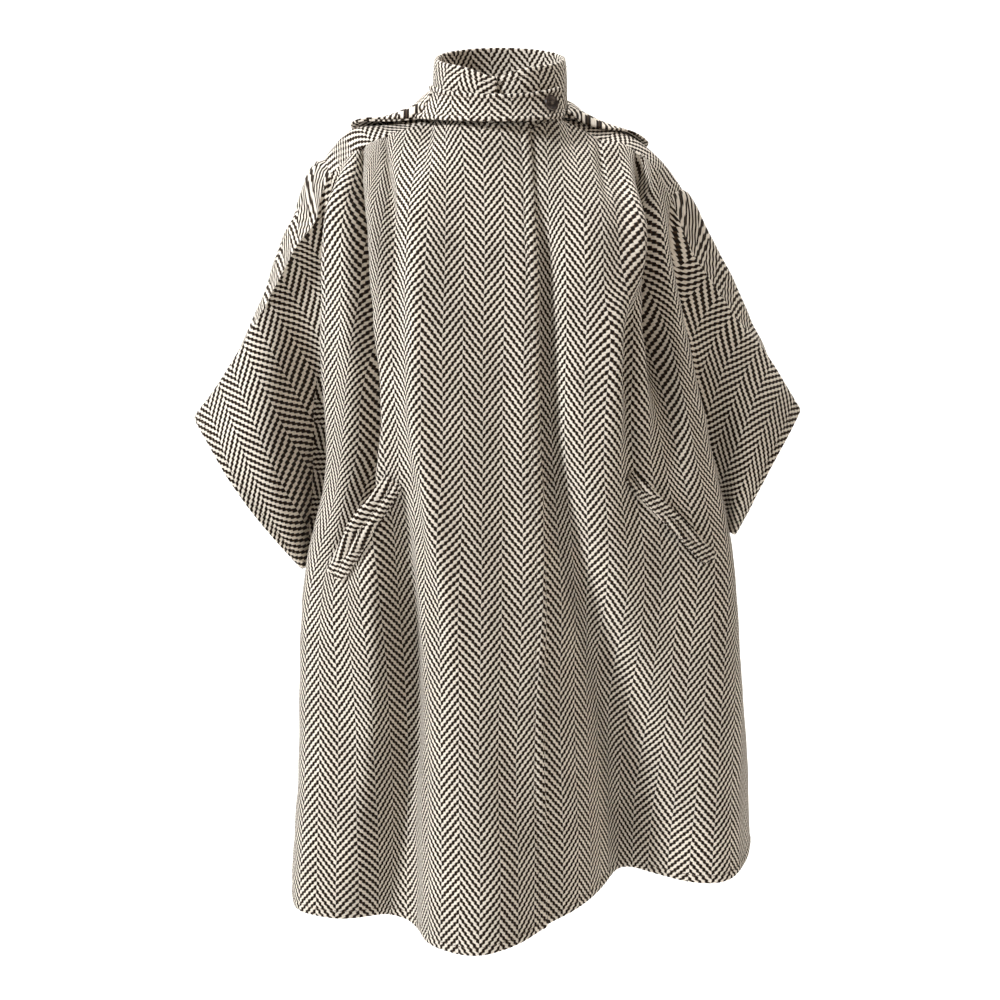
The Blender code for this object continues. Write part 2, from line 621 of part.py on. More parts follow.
def button_object(name, cutters):
    """Four-hole button: a turned disc with a raised rim, seated on the throat tab."""
    profile = (
        (0.0, BUTTON_THICK - BUTTON_RIM),
        (BUTTON_DISH, BUTTON_THICK - BUTTON_RIM),
        (BUTTON_DISH + BUTTON_RIM, BUTTON_THICK),
        (BUTTON_RADIUS - BUTTON_RIM, BUTTON_THICK),
        (BUTTON_RADIUS, BUTTON_THICK - BUTTON_RIM),
        (BUTTON_RADIUS, BUTTON_RIM),
        (BUTTON_RADIUS - BUTTON_RIM, 0.0),
        (0.0, 0.0),
    )
    mesh = bpy.data.meshes.new(name)
    edges = [(start, start + 1) for start in range(len(profile) - 1)]
    mesh.from_pydata([(reach, 0.0, rise) for reach, rise in profile], edges, [])
    button = bpy.data.objects.new(name, mesh)
    screw = button.modifiers.new("turned", "SCREW")
    screw.steps = BUTTON_STEPS
    screw.render_steps = BUTTON_STEPS
    screw.use_merge_vertices = True
    screw.merge_threshold = BUTTON_MERGE
    surface = tab_point(np.array(BUTTON_ANGLE), np.array(BUTTON_SHARE))
    around = Vector(tab_point(np.array(BUTTON_ANGLE + BUTTON_PROBE), np.array(BUTTON_SHARE)) - surface)
    upward = Vector(tab_point(np.array(BUTTON_ANGLE), np.array(BUTTON_SHARE + BUTTON_PROBE)) - surface)
    facing = around.cross(upward).normalized()
    button.location = Vector(surface) + facing * (CLOTH / 2 + BUTTON_SEAT)
    button.rotation_euler = facing.to_track_quat("Z", "Y").to_euler()
    for across in (-BUTTON_HOLE_PITCH, BUTTON_HOLE_PITCH):
        for up in (-BUTTON_HOLE_PITCH, BUTTON_HOLE_PITCH):
            shape = bmesh.new()
            bmesh.ops.create_cone(shape, cap_ends=True, segments=BUTTON_HOLE_STEPS, depth=BUTTON_HOLE_REACH,
                                  radius1=BUTTON_HOLE, radius2=BUTTON_HOLE)
            hole_mesh = bpy.data.meshes.new("button_hole")
            shape.to_mesh(hole_mesh)
            shape.free()
            hole = bpy.data.objects.new("button_hole", hole_mesh)
            hole.parent = button
            hole.location = (across, up, 0.0)
            hole.hide_render = True
            hole.display_type = "WIRE"
            cutters.objects.link(hole)
            cut = button.modifiers.new("hole", "BOOLEAN")
            cut.operation = "DIFFERENCE"
            cut.solver = "EXACT"
            cut.object = hole
    return button


def material(finish):
    """Principled material of a finish."""
    made = bpy.data.materials.new(finish.name)
    made.use_nodes = True
    shader = made.node_tree.nodes["Principled BSDF"]
    shader.inputs["Base Color"].default_value = finish.colour + (1.0,)
    shader.inputs["Roughness"].default_value = finish.roughness
    shader.inputs["Metallic"].default_value = 0.0
    return made


def panel_sheets():
    """Sheets of the panels that are sewn edge to edge: fronts, back and sleeve halves."""
    lower = np.linspace(UNDERARM, HEM, LOWER_ROWS + 1)[1:]
    front_levels = np.concatenate([np.linspace(0.0, UNDERARM, ARMHOLE_ROWS + 1), lower])
    back_levels = np.concatenate([BACK_LEVELS, lower])
    fronts = {side: front_sheet(side, front_levels) for side in (RIGHT, LEFT)}
    back = back_sheet(back_levels)
    sheets = [Sheet("back", back, (0.0, BACK, 0.0))]
    for side in (RIGHT, LEFT):
        column = 0 if side == RIGHT else -1
        front_armhole = fronts[side][ARMHOLE_ROWS::-1, column]
        back_armhole = back[len(BACK_LEVELS) - 1::-1, column]
        name = SIDE_NAMES[side]
        sheets.append(Sheet("front_" + name, fronts[side], (0.0, FRONT, 0.0)))
        for face, face_name, armhole in ((FRONT, "front", front_armhole), (BACK, "back", back_armhole)):
            points = sleeve_sheet(side, face, armhole)
            sheets.append(Sheet("sleeve_" + face_name + "_" + name, points, (0.0, face, 0.0)))
    return sheets


def build():
    """Make every piece in a collection named for the object."""
    for old in list(bpy.data.objects):
        bpy.data.objects.remove(old, do_unlink=True)
    parts = bpy.data.collections.new(OBJECT_NAME)
    cutters = bpy.data.collections.new("cutters")
    for collection in (parts, cutters):
        bpy.context.scene.collection.children.link(collection)
    tweed = material(TWEED)
    horn = material(HORN)
    sewn = panel_sheets()
    normals = seam_normals(sewn)
    pieces = []
    for sheet in sewn:
        drawn = inset(sheet.points, normals[sheet.name], EDGE_INSET)
        pieces.append(wall(sheet.name, drawn, normals[sheet.name], CLOTH))
    loose = (
        (Sheet("collar_stand", collar_sheet(), (0.0, BACK, 0.0)), COLLAR),
        (Sheet("hood", hood_sheet(), (0.0, 0.0, -1.0)), CLOTH),
        (Sheet("throat_tab", tab_sheet(), (0.0, FRONT, 0.0)), CLOTH),
        (Sheet("pocket_welt_right", welt_sheet(RIGHT), (0.0, FRONT, 0.0)), WELT_CLOTH),
        (Sheet("pocket_welt_left", welt_sheet(LEFT), (0.0, FRONT, 0.0)), WELT_CLOTH),
    )
    for sheet, thickness in loose:
        pieces.append(wall(sheet.name, sheet.points, sheet_normals(sheet.points, sheet.outward), thickness))
    for piece in pieces:
        piece.data.materials.append(tweed)
        parts.objects.link(piece)
    button = button_object("tab_button", cutters)
    button.data.materials.append(horn)
    parts.objects.link(button)


build()
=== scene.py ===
"""Hooded cape of herringbone wool tweed: its finished look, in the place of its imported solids.

Metres, +Z up.  The front faces -Y and the wearer's right is -X.  The worn form follows the solids,
with deeper and finer folds, and the cloth has tucks, creases, turned hems, stitches and weave.
"""

import logging
import math
from dataclasses import dataclass, field
from enum import Enum, IntEnum
from typing import Optional, Sequence

import bmesh
import bpy
import numpy as np
from mathutils import Matrix, Vector


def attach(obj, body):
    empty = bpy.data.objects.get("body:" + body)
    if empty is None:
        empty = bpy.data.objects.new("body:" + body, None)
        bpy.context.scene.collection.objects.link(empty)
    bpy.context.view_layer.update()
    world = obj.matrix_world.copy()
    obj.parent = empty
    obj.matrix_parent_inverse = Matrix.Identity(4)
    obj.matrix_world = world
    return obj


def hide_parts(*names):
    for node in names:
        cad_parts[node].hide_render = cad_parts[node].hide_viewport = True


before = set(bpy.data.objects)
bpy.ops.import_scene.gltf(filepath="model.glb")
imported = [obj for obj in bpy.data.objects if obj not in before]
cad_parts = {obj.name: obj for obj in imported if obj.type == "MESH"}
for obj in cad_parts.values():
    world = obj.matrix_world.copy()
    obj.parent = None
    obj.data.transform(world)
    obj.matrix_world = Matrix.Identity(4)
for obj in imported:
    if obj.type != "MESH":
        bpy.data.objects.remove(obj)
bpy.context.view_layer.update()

LOG = logging.getLogger("hooded_cape")
BODY = "root"
WEAVE_MAP = "weave"
UP_ATTRIBUTE = "up"
MILLIMETRE = 0.001
RIM_LOOPS = 3
RIM_BULGE = 0.8
SEAM_DIGITS = 5
THREAD_PROUD = 0.0001
LAST_CELL = 1.001
WELD = 1e-6
RIPPLE_WAVES = 7
RIPPLE_LEAN = (1.0, 0.6, 0.55)
RIPPLE_SPAN = (0.7, 1.5)
WAVE_SPAN = 0.31
WHITE = "#ffffff"


class Side(IntEnum):
    """Side of the wearer, by its sign along X."""

    RIGHT = -1
    LEFT = 1


class Face(IntEnum):
    """Face of the cape, by its sign along Y."""

    FRONT = -1
    BACK = 1


class Hold(Enum):
    """How a sheet of cloth is held."""

    HUNG = "hung"
    FOLDED = "folded"
    STRETCHED = "stretched"
    LAID = "laid"


def per_side(right: object, left: object) -> dict:
    """Dataclass field with a value for each side."""
    return field(default_factory=lambda: {Side.RIGHT: right, Side.LEFT: left})


def per_face(front: object, back: object) -> dict:
    """Dataclass field with a value for each face."""
    return field(default_factory=lambda: {Face.FRONT: front, Face.BACK: back})


@dataclass(frozen=True)
class Section:
    """Half-widths and depths of the body at one level.

    `edge` is how far the panels' side edges lie from the side plane, and `fore` how much more the
    left front's does.
    """

    level: float
    right: float
    left: float
    front: float
    back: float
    edge: float
    fore: float = 0.0


@dataclass(frozen=True)
class ShoulderStop:
    """Point of the shoulder seam and of the crest behind it."""

    reach: float
    drop: float
    forward: float
    crest_reach: float
    crest_drop: float


@dataclass(frozen=True)
class ArmStop:
    """Point of the over-arm seam."""

    reach: float
    drop: float
    forward: float


@dataclass(frozen=True)
class Fold:
    """Fold of the cloth, as stops of level, place across the panel, height and half-width.

    The larger `steep` is, the flatter the fold's middle and the steeper its two sides.  `leans` says
    how far the cloth leans sideways at each stop, in a fold that does.
    """

    name: str
    stops: tuple[tuple[float, float, float, float], ...]
    steep: float = 2.0
    leans: tuple[float, ...] = ()


@dataclass(frozen=True)
class Dent:
    """Pocket mouth: a hollow along a line from an upper to a lower place and level of a front."""

    upper_place: float
    upper_level: float
    lower_place: float
    lower_level: float
    depth: float
    wide: float


@dataclass(frozen=True)
class CollarRow:
    """Shares of the collar's base oval at one share of its height."""

    rise: float
    wide: float
    front: float
    back: float


@dataclass
class Sheet:
    """Sheet of points with its flat cloth coordinates, which lay the weave.

    `cut` gives the sheet's true lengths where the weave is laid another way.
    """

    name: str
    points: np.ndarray
    flat: np.ndarray
    outward: tuple[float, float, float]
    thickness: float
    held: Hold = Hold.HUNG
    rests_on: tuple[str, ...] = ()
    sewn: tuple[str, ...] = ()
    normals: Optional[np.ndarray] = None
    cut: Optional[np.ndarray] = None


def blend(knots: np.ndarray, at: np.ndarray) -> tuple[np.ndarray, tuple[np.ndarray, ...]]:
    """Find the knot before each place and the four weights of a smooth curve there.

    Args:
        knots: Rising places at which values are given.
        at: Places to read.

    Returns:
        The cell of each place, and the weights of its two values and two slopes.
    """
    cell = np.clip(np.searchsorted(knots, at, side="right") - 1, 0, len(knots) - 2)
    span = knots[cell + 1] - knots[cell]
    part = np.clip((at - knots[cell]) / span, 0.0, 1.0)
    leave = (1 + 2 * part) * (1 - part) ** 2
    leave_slope = part * (1 - part) ** 2 * span
    arrive = part ** 2 * (3 - 2 * part)
    arrive_slope = part ** 2 * (part - 1) * span
    return cell, (leave, leave_slope, arrive, arrive_slope)


def smooth(knots: Sequence[float], values: Sequence[float], at: np.ndarray) -> np.ndarray:
    """Read a smooth curve through values given at rising knots.

    Args:
        knots: Rising places of the values.
        values: Numbers or points at the knots.
        at: Places to read.

    Returns:
        The values at those places.
    """
    knots = np.asarray(knots, float)
    values = np.asarray(values, float)
    slopes = np.gradient(values, knots, axis=0)
    cell, weights = blend(knots, np.asarray(at, float))
    weights = [weight.reshape(weight.shape + (1,) * (values.ndim - 1)) for weight in weights]
    terms = (values[cell], slopes[cell], values[cell + 1], slopes[cell + 1])
    return sum(weight * term for weight, term in zip(weights, terms))


def down_lines(knots: np.ndarray, lines: np.ndarray, at: np.ndarray) -> np.ndarray:
    """Read each of many lines, given at shared knots, at a place of its own.

    Args:
        knots: Levels of the lines' points.
        lines: Points, by level and line.
        at: Level to read on each line.

    Returns:
        One point for each line.
    """
    slopes = np.gradient(lines, knots, axis=0)
    cell, weights = blend(knots, at)
    own = np.arange(len(at))
    terms = (lines[cell, own], slopes[cell, own], lines[cell + 1, own], slopes[cell + 1, own])
    return sum(weight[:, None] * term for weight, term in zip(weights, terms))


def run_along(points: np.ndarray) -> np.ndarray:
    """Length along a line of points, from its first one."""
    return np.concatenate([[0.0], np.cumsum(np.linalg.norm(np.diff(points, axis=0), axis=1))])


def along(points: Sequence[np.ndarray], shares: np.ndarray) -> np.ndarray:
    """Points at the given shares of the length of a smooth curve through a few points."""
    points = np.asarray(points, float)
    run = run_along(points)
    return smooth(run / run[-1], points, shares)


def unit(vectors: np.ndarray) -> np.ndarray:
    """Vectors scaled to length one."""
    return vectors / np.maximum(np.linalg.norm(vectors, axis=-1, keepdims=True), 1e-12)


def ease(share: np.ndarray) -> np.ndarray:
    """Smooth step from 0 to 1, held beyond both ends."""
    part = np.clip(share, 0.0, 1.0)
    return part ** 2 * (3 - 2 * part)


def sheet_normals(points: np.ndarray, outward: Sequence[float]) -> np.ndarray:
    """Work out a sheet's normals.

    Args:
        points: Sheet of points, by row and column.
        outward: Rough direction that the normal at the sheet's middle points to.

    Returns:
        One normal for each point.
    """
    normals = unit(np.cross(np.gradient(points, axis=1), np.gradient(points, axis=0)))
    middle = normals[points.shape[0] // 2, points.shape[1] // 2]
    return normals if np.dot(middle, outward) > 0 else -normals


def lengths(points: np.ndarray, axis: int, start: int) -> np.ndarray:
    """Length along a sheet's rows or columns.

    Args:
        points: Sheet of points, by row and column.
        axis: 0 to measure down the columns, 1 along the rows.
        start: Row or column at which the length is zero.

    Returns:
        The length at each point, negative before the start.
    """
    steps = np.linalg.norm(np.diff(points, axis=axis), axis=-1)
    zero = np.zeros_like(np.take(steps, [0], axis=axis))
    run = np.concatenate([zero, np.cumsum(steps, axis=axis)], axis=axis)
    return run - np.take(run, [start], axis=axis)


def evened(values: np.ndarray, steps: float) -> np.ndarray:
    """Values evened out down their columns, over about the given number of rows."""
    rows = np.arange(len(values))
    share = np.exp(-((rows[:, None] - rows[None, :]) / steps) ** 2)
    return share / share.sum(axis=1, keepdims=True) @ values


def taut(values: np.ndarray) -> np.ndarray:
    """Rows of values with every hollow bridged by a straight line, like a stiff band over a fold."""
    bridged = values.copy()
    count = values.shape[1]
    for first in range(count):
        for last in range(first + 2, count):
            line = np.linspace(values[:, first], values[:, last], last - first + 1, axis=1)
            bridged[:, first:last + 1] = np.maximum(bridged[:, first:last + 1], line)
    return bridged


def turned(flat: np.ndarray, degrees: float) -> np.ndarray:
    """Flat cloth coordinates turned about their origin, so that the weave runs at an angle."""
    angle = math.radians(degrees)
    across, up = flat[..., 0], flat[..., 1]
    return np.stack([across * math.cos(angle) + up * math.sin(angle),
                     up * math.cos(angle) - across * math.sin(angle)], axis=-1)


def ripple(points: np.ndarray, pitch: float, seed: int) -> np.ndarray:
    """Soft unevenness of hanging cloth: a few crossed waves with fixed directions.

    Args:
        points: Sheet of points.
        pitch: Mean distance between crests, in metres.
        seed: Choice of directions and phases.

    Returns:
        Height of the waves at each point, from about -1 to 1.
    """
    draw = np.random.default_rng(seed)
    height = np.zeros(points.shape[:-1])
    for _ in range(RIPPLE_WAVES):
        direction = unit(draw.normal(size=3) * RIPPLE_LEAN)
        phase = draw.uniform(0.0, 2 * math.pi)
        turns = 2 * math.pi / (pitch * draw.uniform(*RIPPLE_SPAN))
        height += np.sin(points @ direction * turns + phase)
    return height / math.sqrt(RIPPLE_WAVES)


@dataclass
class WornForm:
    """Form of the cape as it is worn: neckline, shoulders, body sections and folds."""

    neck_wide: float = 0.082
    neck_front: float = 0.078
    neck_back: float = 0.070
    neck_rise: dict[Face, float] = per_face(-0.001, 0.012)
    neck_seam: float = math.radians(68)
    neck_share: float = 0.40
    underarm: float = 1.0
    hem: float = 2.0
    underarm_drop: dict[Side, float] = per_side(0.533, 0.491)
    hem_places: tuple[float, ...] = (-1.0, -0.5, -0.1, 0.15, 0.40, 0.70, 1.0)
    hem_drops: tuple[float, ...] = (0.941, 0.944, 0.956, 0.939, 0.906, 0.905, 0.887)
    roundness: float = 2.5
    ring_steps: int = 257
    crest_level: float = 0.09
    crest_neck_wide: float = 0.093
    crest_neck_back: float = 0.089
    crest_neck_rise: float = 0.001
    crest_back_rise: float = 0.003
    fold_fade: float = 0.06
    place_length: float = 0.33
    level_length: float = 0.50
    ripples: tuple[tuple[float, float, int], ...] = ((0.0012, 0.110, 5), (0.0005, 0.045, 9))
    sections: tuple[Section, ...] = (
        Section(0.20, 0.192, 0.198, 0.120, 0.100, 0.034, 0.010),
        Section(0.42, 0.192, 0.217, 0.146, 0.126, 0.026, 0.028),
        Section(0.75, 0.205, 0.248, 0.150, 0.136, 0.014, 0.030),
        Section(1.00, 0.232, 0.277, 0.150, 0.142, 0.002),
        Section(1.35, 0.2405, 0.294, 0.153, 0.156, 0.0),
        Section(1.70, 0.2500, 0.307, 0.157, 0.174, 0.0),
        Section(2.00, 0.2575, 0.316, 0.162, 0.192, 0.0),
    )
    shoulder: dict[Side, tuple[ShoulderStop, ...]] = field(default_factory=lambda: {
        Side.RIGHT: (
            ShoulderStop(0.1360, 0.015, 0.036, 0.1390, 0.006),
            ShoulderStop(0.1670, 0.032, 0.038, 0.1735, 0.008),
            ShoulderStop(0.1987, 0.059, 0.038, 0.2095, 0.045),
        ),
        Side.LEFT: (
            ShoulderStop(0.1210, 0.020, 0.036, 0.1260, 0.012),
            ShoulderStop(0.1505, 0.027, 0.038, 0.1560, 0.021),
            ShoulderStop(0.1800, 0.047, 0.039, 0.1860, 0.040),
            ShoulderStop(0.2023, 0.084, 0.037, 0.2195, 0.079),
        ),
    })
    folds: dict[Face, tuple[Fold, ...]] = field(default_factory=lambda: {
        Face.FRONT: (
            Fold("tuck_right", (
                (0.0, -0.665, -0.002, 0.018), (0.05, -0.630, -0.007, 0.022), (0.155, -0.560, -0.010, 0.030),
                (0.265, -0.505, -0.010, 0.038), (0.38, -0.465, -0.006, 0.045), (0.60, -0.430, 0.0, 0.050),
            )),
            Fold("tuck_crest_right", (
                (0.0, -0.730, 0.0, 0.030), (0.06, -0.715, 0.005, 0.035), (0.155, -0.655, 0.008, 0.040),
                (0.265, -0.600, 0.007, 0.045), (0.40, -0.560, 0.0, 0.050),
            )),
            Fold("cleft_right", (
                (0.0, -0.795, -0.002, 0.018), (0.04, -0.785, -0.018, 0.022), (0.13, -0.750, -0.048, 0.030),
                (0.23, -0.710, -0.078, 0.038), (0.345, -0.680, -0.092, 0.046),
                (0.435, -0.655, -0.095, 0.052), (0.60, -0.620, -0.090, 0.062),
                (0.72, -0.615, -0.074, 0.064), (0.82, -0.612, -0.040, 0.060), (0.90, -0.625, -0.014, 0.056),
                (0.98, -0.640, 0.0, 0.050),
            ), steep=3.0),
            Fold("trough_right", (
                (0.78, -0.430, 0.0, 0.060), (0.90, -0.405, -0.026, 0.065), (1.05, -0.375, -0.048, 0.072),
                (1.4, -0.355, -0.056, 0.085), (2.0, -0.395, -0.048, 0.120),
            ), steep=3.0),
            Fold("lip_right", (
                (0.02, -0.840, 0.0, 0.030), (0.125, -0.805, 0.007, 0.035), (0.29, -0.760, 0.010, 0.045),
                (0.43, -0.740, 0.010, 0.050), (0.58, -0.700, 0.006, 0.055), (0.78, -0.660, 0.0, 0.055),
            ), leans=(0.0, 0.010, 0.018, 0.018, 0.007, 0.0)),
            Fold("ridge_right", (
                (0.0, -0.880, 0.0, 0.050), (0.05, -0.860, 0.012, 0.045), (0.13, -0.845, 0.022, 0.050),
                (0.195, -0.840, 0.024, 0.055), (0.325, -0.835, 0.024, 0.062), (0.475, -0.830, 0.022, 0.066),
                (0.625, -0.820, 0.014, 0.075), (0.825, -0.810, 0.006, 0.090), (1.02, -0.770, 0.014, 0.110),
                (1.5, -0.720, 0.018, 0.120), (2.0, -0.700, 0.019, 0.130),
            )),
            Fold("flank_right", (
                (0.25, -0.380, 0.0, 0.050), (0.445, -0.345, 0.008, 0.055), (0.67, -0.315, 0.010, 0.055),
                (0.85, -0.240, 0.010, 0.050), (1.065, -0.170, 0.008, 0.050), (1.40, -0.150, 0.0, 0.050),
            ), leans=(0.0, -0.004, -0.006, -0.006, -0.005, 0.0)),
            Fold("lobe_right", (
                (0.0, -0.400, 0.0, 0.100), (0.42, -0.330, 0.010, 0.130), (1.0, -0.130, 0.018, 0.180),
                (1.5, -0.070, 0.036, 0.200), (2.0, -0.035, 0.064, 0.200),
            )),
            Fold("valley_middle", (
                (0.0, 0.0, 0.0, 0.060), (0.38, 0.0, -0.002, 0.060), (1.0, 0.020, -0.004, 0.070),
                (1.6, 0.050, -0.006, 0.080), (2.0, 0.150, -0.014, 0.090),
            )),
            Fold("ridge_left", (
                (0.0, 0.520, 0.0, 0.110), (0.17, 0.510, 0.010, 0.125), (0.42, 0.450, 0.014, 0.130),
                (0.70, 0.410, 0.010, 0.130), (1.0, 0.370, 0.005, 0.130), (2.0, 0.250, 0.0, 0.120),
            )),
            Fold("tuck_left", (
                (0.0, 0.565, -0.002, 0.018), (0.06, 0.550, -0.005, 0.020), (0.13, 0.535, -0.003, 0.024),
                (0.22, 0.510, 0.0, 0.030),
            )),
            Fold("lip_left", (
                (0.02, 0.690, 0.0, 0.030), (0.10, 0.670, 0.006, 0.040), (0.205, 0.640, 0.012, 0.045),
                (0.30, 0.600, 0.012, 0.050), (0.465, 0.470, 0.008, 0.050), (0.62, 0.450, 0.006, 0.050),
                (0.85, 0.440, 0.0, 0.050),
            ), leans=(0.0, 0.006, 0.012, 0.012, 0.010, 0.007, 0.0)),
            Fold("step_left", (
                (0.28, 0.620, 0.0, 0.035), (0.38, 0.560, -0.009, 0.038), (0.50, 0.530, -0.014, 0.040),
                (0.76, 0.500, -0.012, 0.045), (0.98, 0.480, 0.0, 0.050),
            )),
            Fold("cleft_left", (
                (0.0, 0.755, -0.002, 0.018), (0.05, 0.765, -0.026, 0.028), (0.15, 0.765, -0.056, 0.044),
                (0.30, 0.745, -0.064, 0.054), (0.45, 0.720, -0.046, 0.060), (0.60, 0.700, -0.024, 0.064),
                (0.80, 0.650, -0.009, 0.075), (1.0, 0.610, -0.004, 0.090), (1.5, 0.560, 0.0, 0.100),
            ), steep=3.0),
            Fold("ridge_outer_left", (
                (0.0, 0.900, 0.0, 0.060), (0.42, 0.880, 0.004, 0.095), (1.0, 0.800, 0.010, 0.120),
                (2.0, 0.680, 0.020, 0.120),
            )),
            Fold("valley_left", (
                (0.15, 0.225, 0.0, 0.040), (0.30, 0.222, -0.014, 0.045), (0.50, 0.214, -0.022, 0.050),
                (0.70, 0.214, -0.026, 0.055), (0.95, 0.245, -0.034, 0.068), (1.30, 0.325, -0.050, 0.095),
                (1.63, 0.400, -0.062, 0.120), (1.83, 0.435, -0.068, 0.135), (2.0, 0.455, -0.070, 0.140),
            )),
            Fold("set_back_left", (
                (0.42, 0.500, 0.0, 0.300), (1.0, 0.500, -0.004, 0.300), (2.0, 0.400, -0.034, 0.360),
            )),
        ),
        Face.BACK: (
            Fold("back_lobe_right", (
                (0.0, -0.40, 0.0, 0.10), (0.42, -0.42, 0.004, 0.11), (1.0, -0.46, 0.018, 0.12),
                (2.0, -0.58, 0.034, 0.12),
            )),
            Fold("back_valley_right", (
                (0.0, -0.20, 0.0, 0.08), (0.42, -0.20, -0.004, 0.09), (1.0, -0.22, -0.016, 0.10),
                (2.0, -0.30, -0.034, 0.11),
            )),
            Fold("back_lobe_middle", (
                (0.0, 0.0, 0.0, 0.09), (0.42, 0.02, 0.0, 0.10), (1.0, 0.03, 0.014, 0.12),
                (2.0, 0.05, 0.036, 0.13),
            )),
            Fold("back_valley_left", (
                (0.0, 0.26, 0.0, 0.08), (0.42, 0.26, -0.004, 0.09), (1.0, 0.28, -0.014, 0.10),
                (2.0, 0.36, -0.032, 0.11),
            )),
            Fold("back_lobe_left", (
                (0.0, 0.50, 0.0, 0.10), (0.42, 0.52, 0.005, 0.11), (1.0, 0.54, 0.020, 0.12),
                (2.0, 0.66, 0.034, 0.12),
            )),
            Fold("back_hollow_right", (
                (0.0, -0.80, 0.0, 0.08), (0.42, -0.80, -0.004, 0.09), (1.0, -0.80, -0.014, 0.10),
                (2.0, -0.84, -0.020, 0.10),
            )),
            Fold("back_hollow_left", (
                (0.0, 0.82, 0.0, 0.08), (0.42, 0.82, -0.004, 0.09), (1.0, 0.82, -0.014, 0.10),
                (2.0, 0.88, -0.020, 0.10),
            )),
        ),
    })
    dents: tuple[Dent, ...] = (
        Dent(-0.480, 0.768, -0.678, 0.972, 0.020, 0.0100),
        Dent(0.480, 0.785, 0.722, 1.005, 0.0025, 0.004),
    )

    def neck_point(self, angle: np.ndarray, side: Side) -> np.ndarray:
        """Point of the neckline at an angle from the front middle."""
        depth = np.where(np.cos(angle) > 0, self.neck_front, self.neck_back)
        middle = (self.neck_rise[Face.FRONT] + self.neck_rise[Face.BACK]) / 2
        rise = middle - (self.neck_rise[Face.BACK] - middle) * np.cos(angle)
        return np.stack([side * self.neck_wide * np.sin(angle), -depth * np.cos(angle), rise], axis=-1)

    def shoulder_seam(self, side: Side) -> list[np.ndarray]:
        """Points of the front shoulder seam, from the neck to the armhole top."""
        neck = self.neck_point(np.array(self.neck_seam), side)
        stops = [np.array([side * stop.reach, -stop.forward, -stop.drop]) for stop in self.shoulder[side]]
        return [neck] + stops

    def shoulder_crest(self, side: Side) -> list[np.ndarray]:
        """Points of the shoulder's crest, from the neck to above the armhole top."""
        neck = np.array([side * self.crest_neck_wide, 0.0, self.crest_neck_rise])
        stops = [np.array([side * stop.crest_reach, 0.0, -stop.crest_drop]) for stop in self.shoulder[side]]
        return [neck] + stops

    def beyond_neck(self, place: np.ndarray) -> np.ndarray:
        """Share of the shoulder that a place lies along, from the neck to the armhole top."""
        return np.clip((place - self.neck_share) / (1 - self.neck_share), 0.0, 1.0)

    def top_edge(self, face: Face, place: np.ndarray, side: Side) -> np.ndarray:
        """Top edge of a front or of the back, at places across one side of it."""
        share = np.clip(place / self.neck_share, 0.0, 1.0)
        middle = 0.0 if face == Face.FRONT else math.pi
        neck = self.neck_point(middle + (self.neck_seam - middle) * share, side)
        seam = along(self.shoulder_seam(side), self.beyond_neck(place))
        return np.where((place > self.neck_share)[..., None], seam, neck)

    def crest_edge(self, place: np.ndarray, side: Side) -> np.ndarray:
        """Line of the back panel over the shoulder's crest and round behind the neck."""
        share = np.clip(place / self.neck_share, 0.0, 1.0)
        angle = math.pi * (1 - share / 2)
        rise = self.crest_back_rise + (self.crest_neck_rise - self.crest_back_rise) * share
        reach = side * self.crest_neck_wide * np.sin(angle)
        neck = np.stack([reach, -self.crest_neck_back * np.cos(angle), rise], axis=-1)
        crest = along(self.shoulder_crest(side), self.beyond_neck(place))
        return np.where((place > self.neck_share)[..., None], crest, neck)

    def ring(self, width: float, depth: float, edge: float,
             shares: np.ndarray) -> tuple[np.ndarray, np.ndarray]:
        """Quarter oval from a panel's middle to its side.

        Args:
            width: Half-width at the side.
            depth: Distance along Y at the middle.
            edge: Distance along Y at the side.
            shares: Shares of the oval's length.

        Returns:
            Reach along X and distance along Y at those shares.
        """
        angle = np.linspace(0.0, math.pi / 2, self.ring_steps)
        reach = width * np.sin(angle) ** (2 / self.roundness)
        away = edge + (depth - edge) * np.cos(angle) ** (2 / self.roundness)
        run = np.concatenate([[0.0], np.cumsum(np.hypot(np.diff(reach), np.diff(away)))])
        return np.interp(shares, run / run[-1], reach), np.interp(shares, run / run[-1], away)

    def level_rise(self, hang: np.ndarray, place: np.ndarray, side: Side, level: float) -> np.ndarray:
        """Height of a level at places across one side: level 1 is the underarm and 2 the hem."""
        middle = (self.underarm_drop[Side.RIGHT] + self.underarm_drop[Side.LEFT]) / 2
        underarm = -(middle + (self.underarm_drop[side] - middle) * place)
        hem = -smooth(self.hem_places, self.hem_drops, side * place)
        upper = hang + (underarm - hang) * min(level, self.underarm)
        return upper + (hem - underarm) * max(level - self.underarm, 0.0)

    def side_lines(self, face: Face, place: np.ndarray, side: Side) -> tuple[np.ndarray, np.ndarray]:
        """Lines that run down one side of a panel.

        Args:
            face: Front or back.
            place: Places across that side, from 0 at the middle to 1.
            side: Side of the wearer.

        Returns:
            The levels of the lines' points, and the points by level and place.
        """
        levels = [0.0]
        lines = [self.top_edge(face, place, side)]
        if face == Face.BACK:
            levels.append(self.crest_level)
            lines.append(self.crest_edge(place, side))
        hang = lines[-1][..., 2]
        for section in self.sections:
            width = section.right if side == Side.RIGHT else section.left
            depth = section.front if face == Face.FRONT else section.back
            edge = section.edge + (section.fore if face == Face.FRONT and side == Side.LEFT else 0.0)
            reach, away = self.ring(width, depth, edge, place)
            rise = self.level_rise(hang, place, side, section.level)
            lines.append(np.stack([side * reach, face * away, rise], axis=-1))
            levels.append(section.level)
        return np.array(levels), np.array(lines)

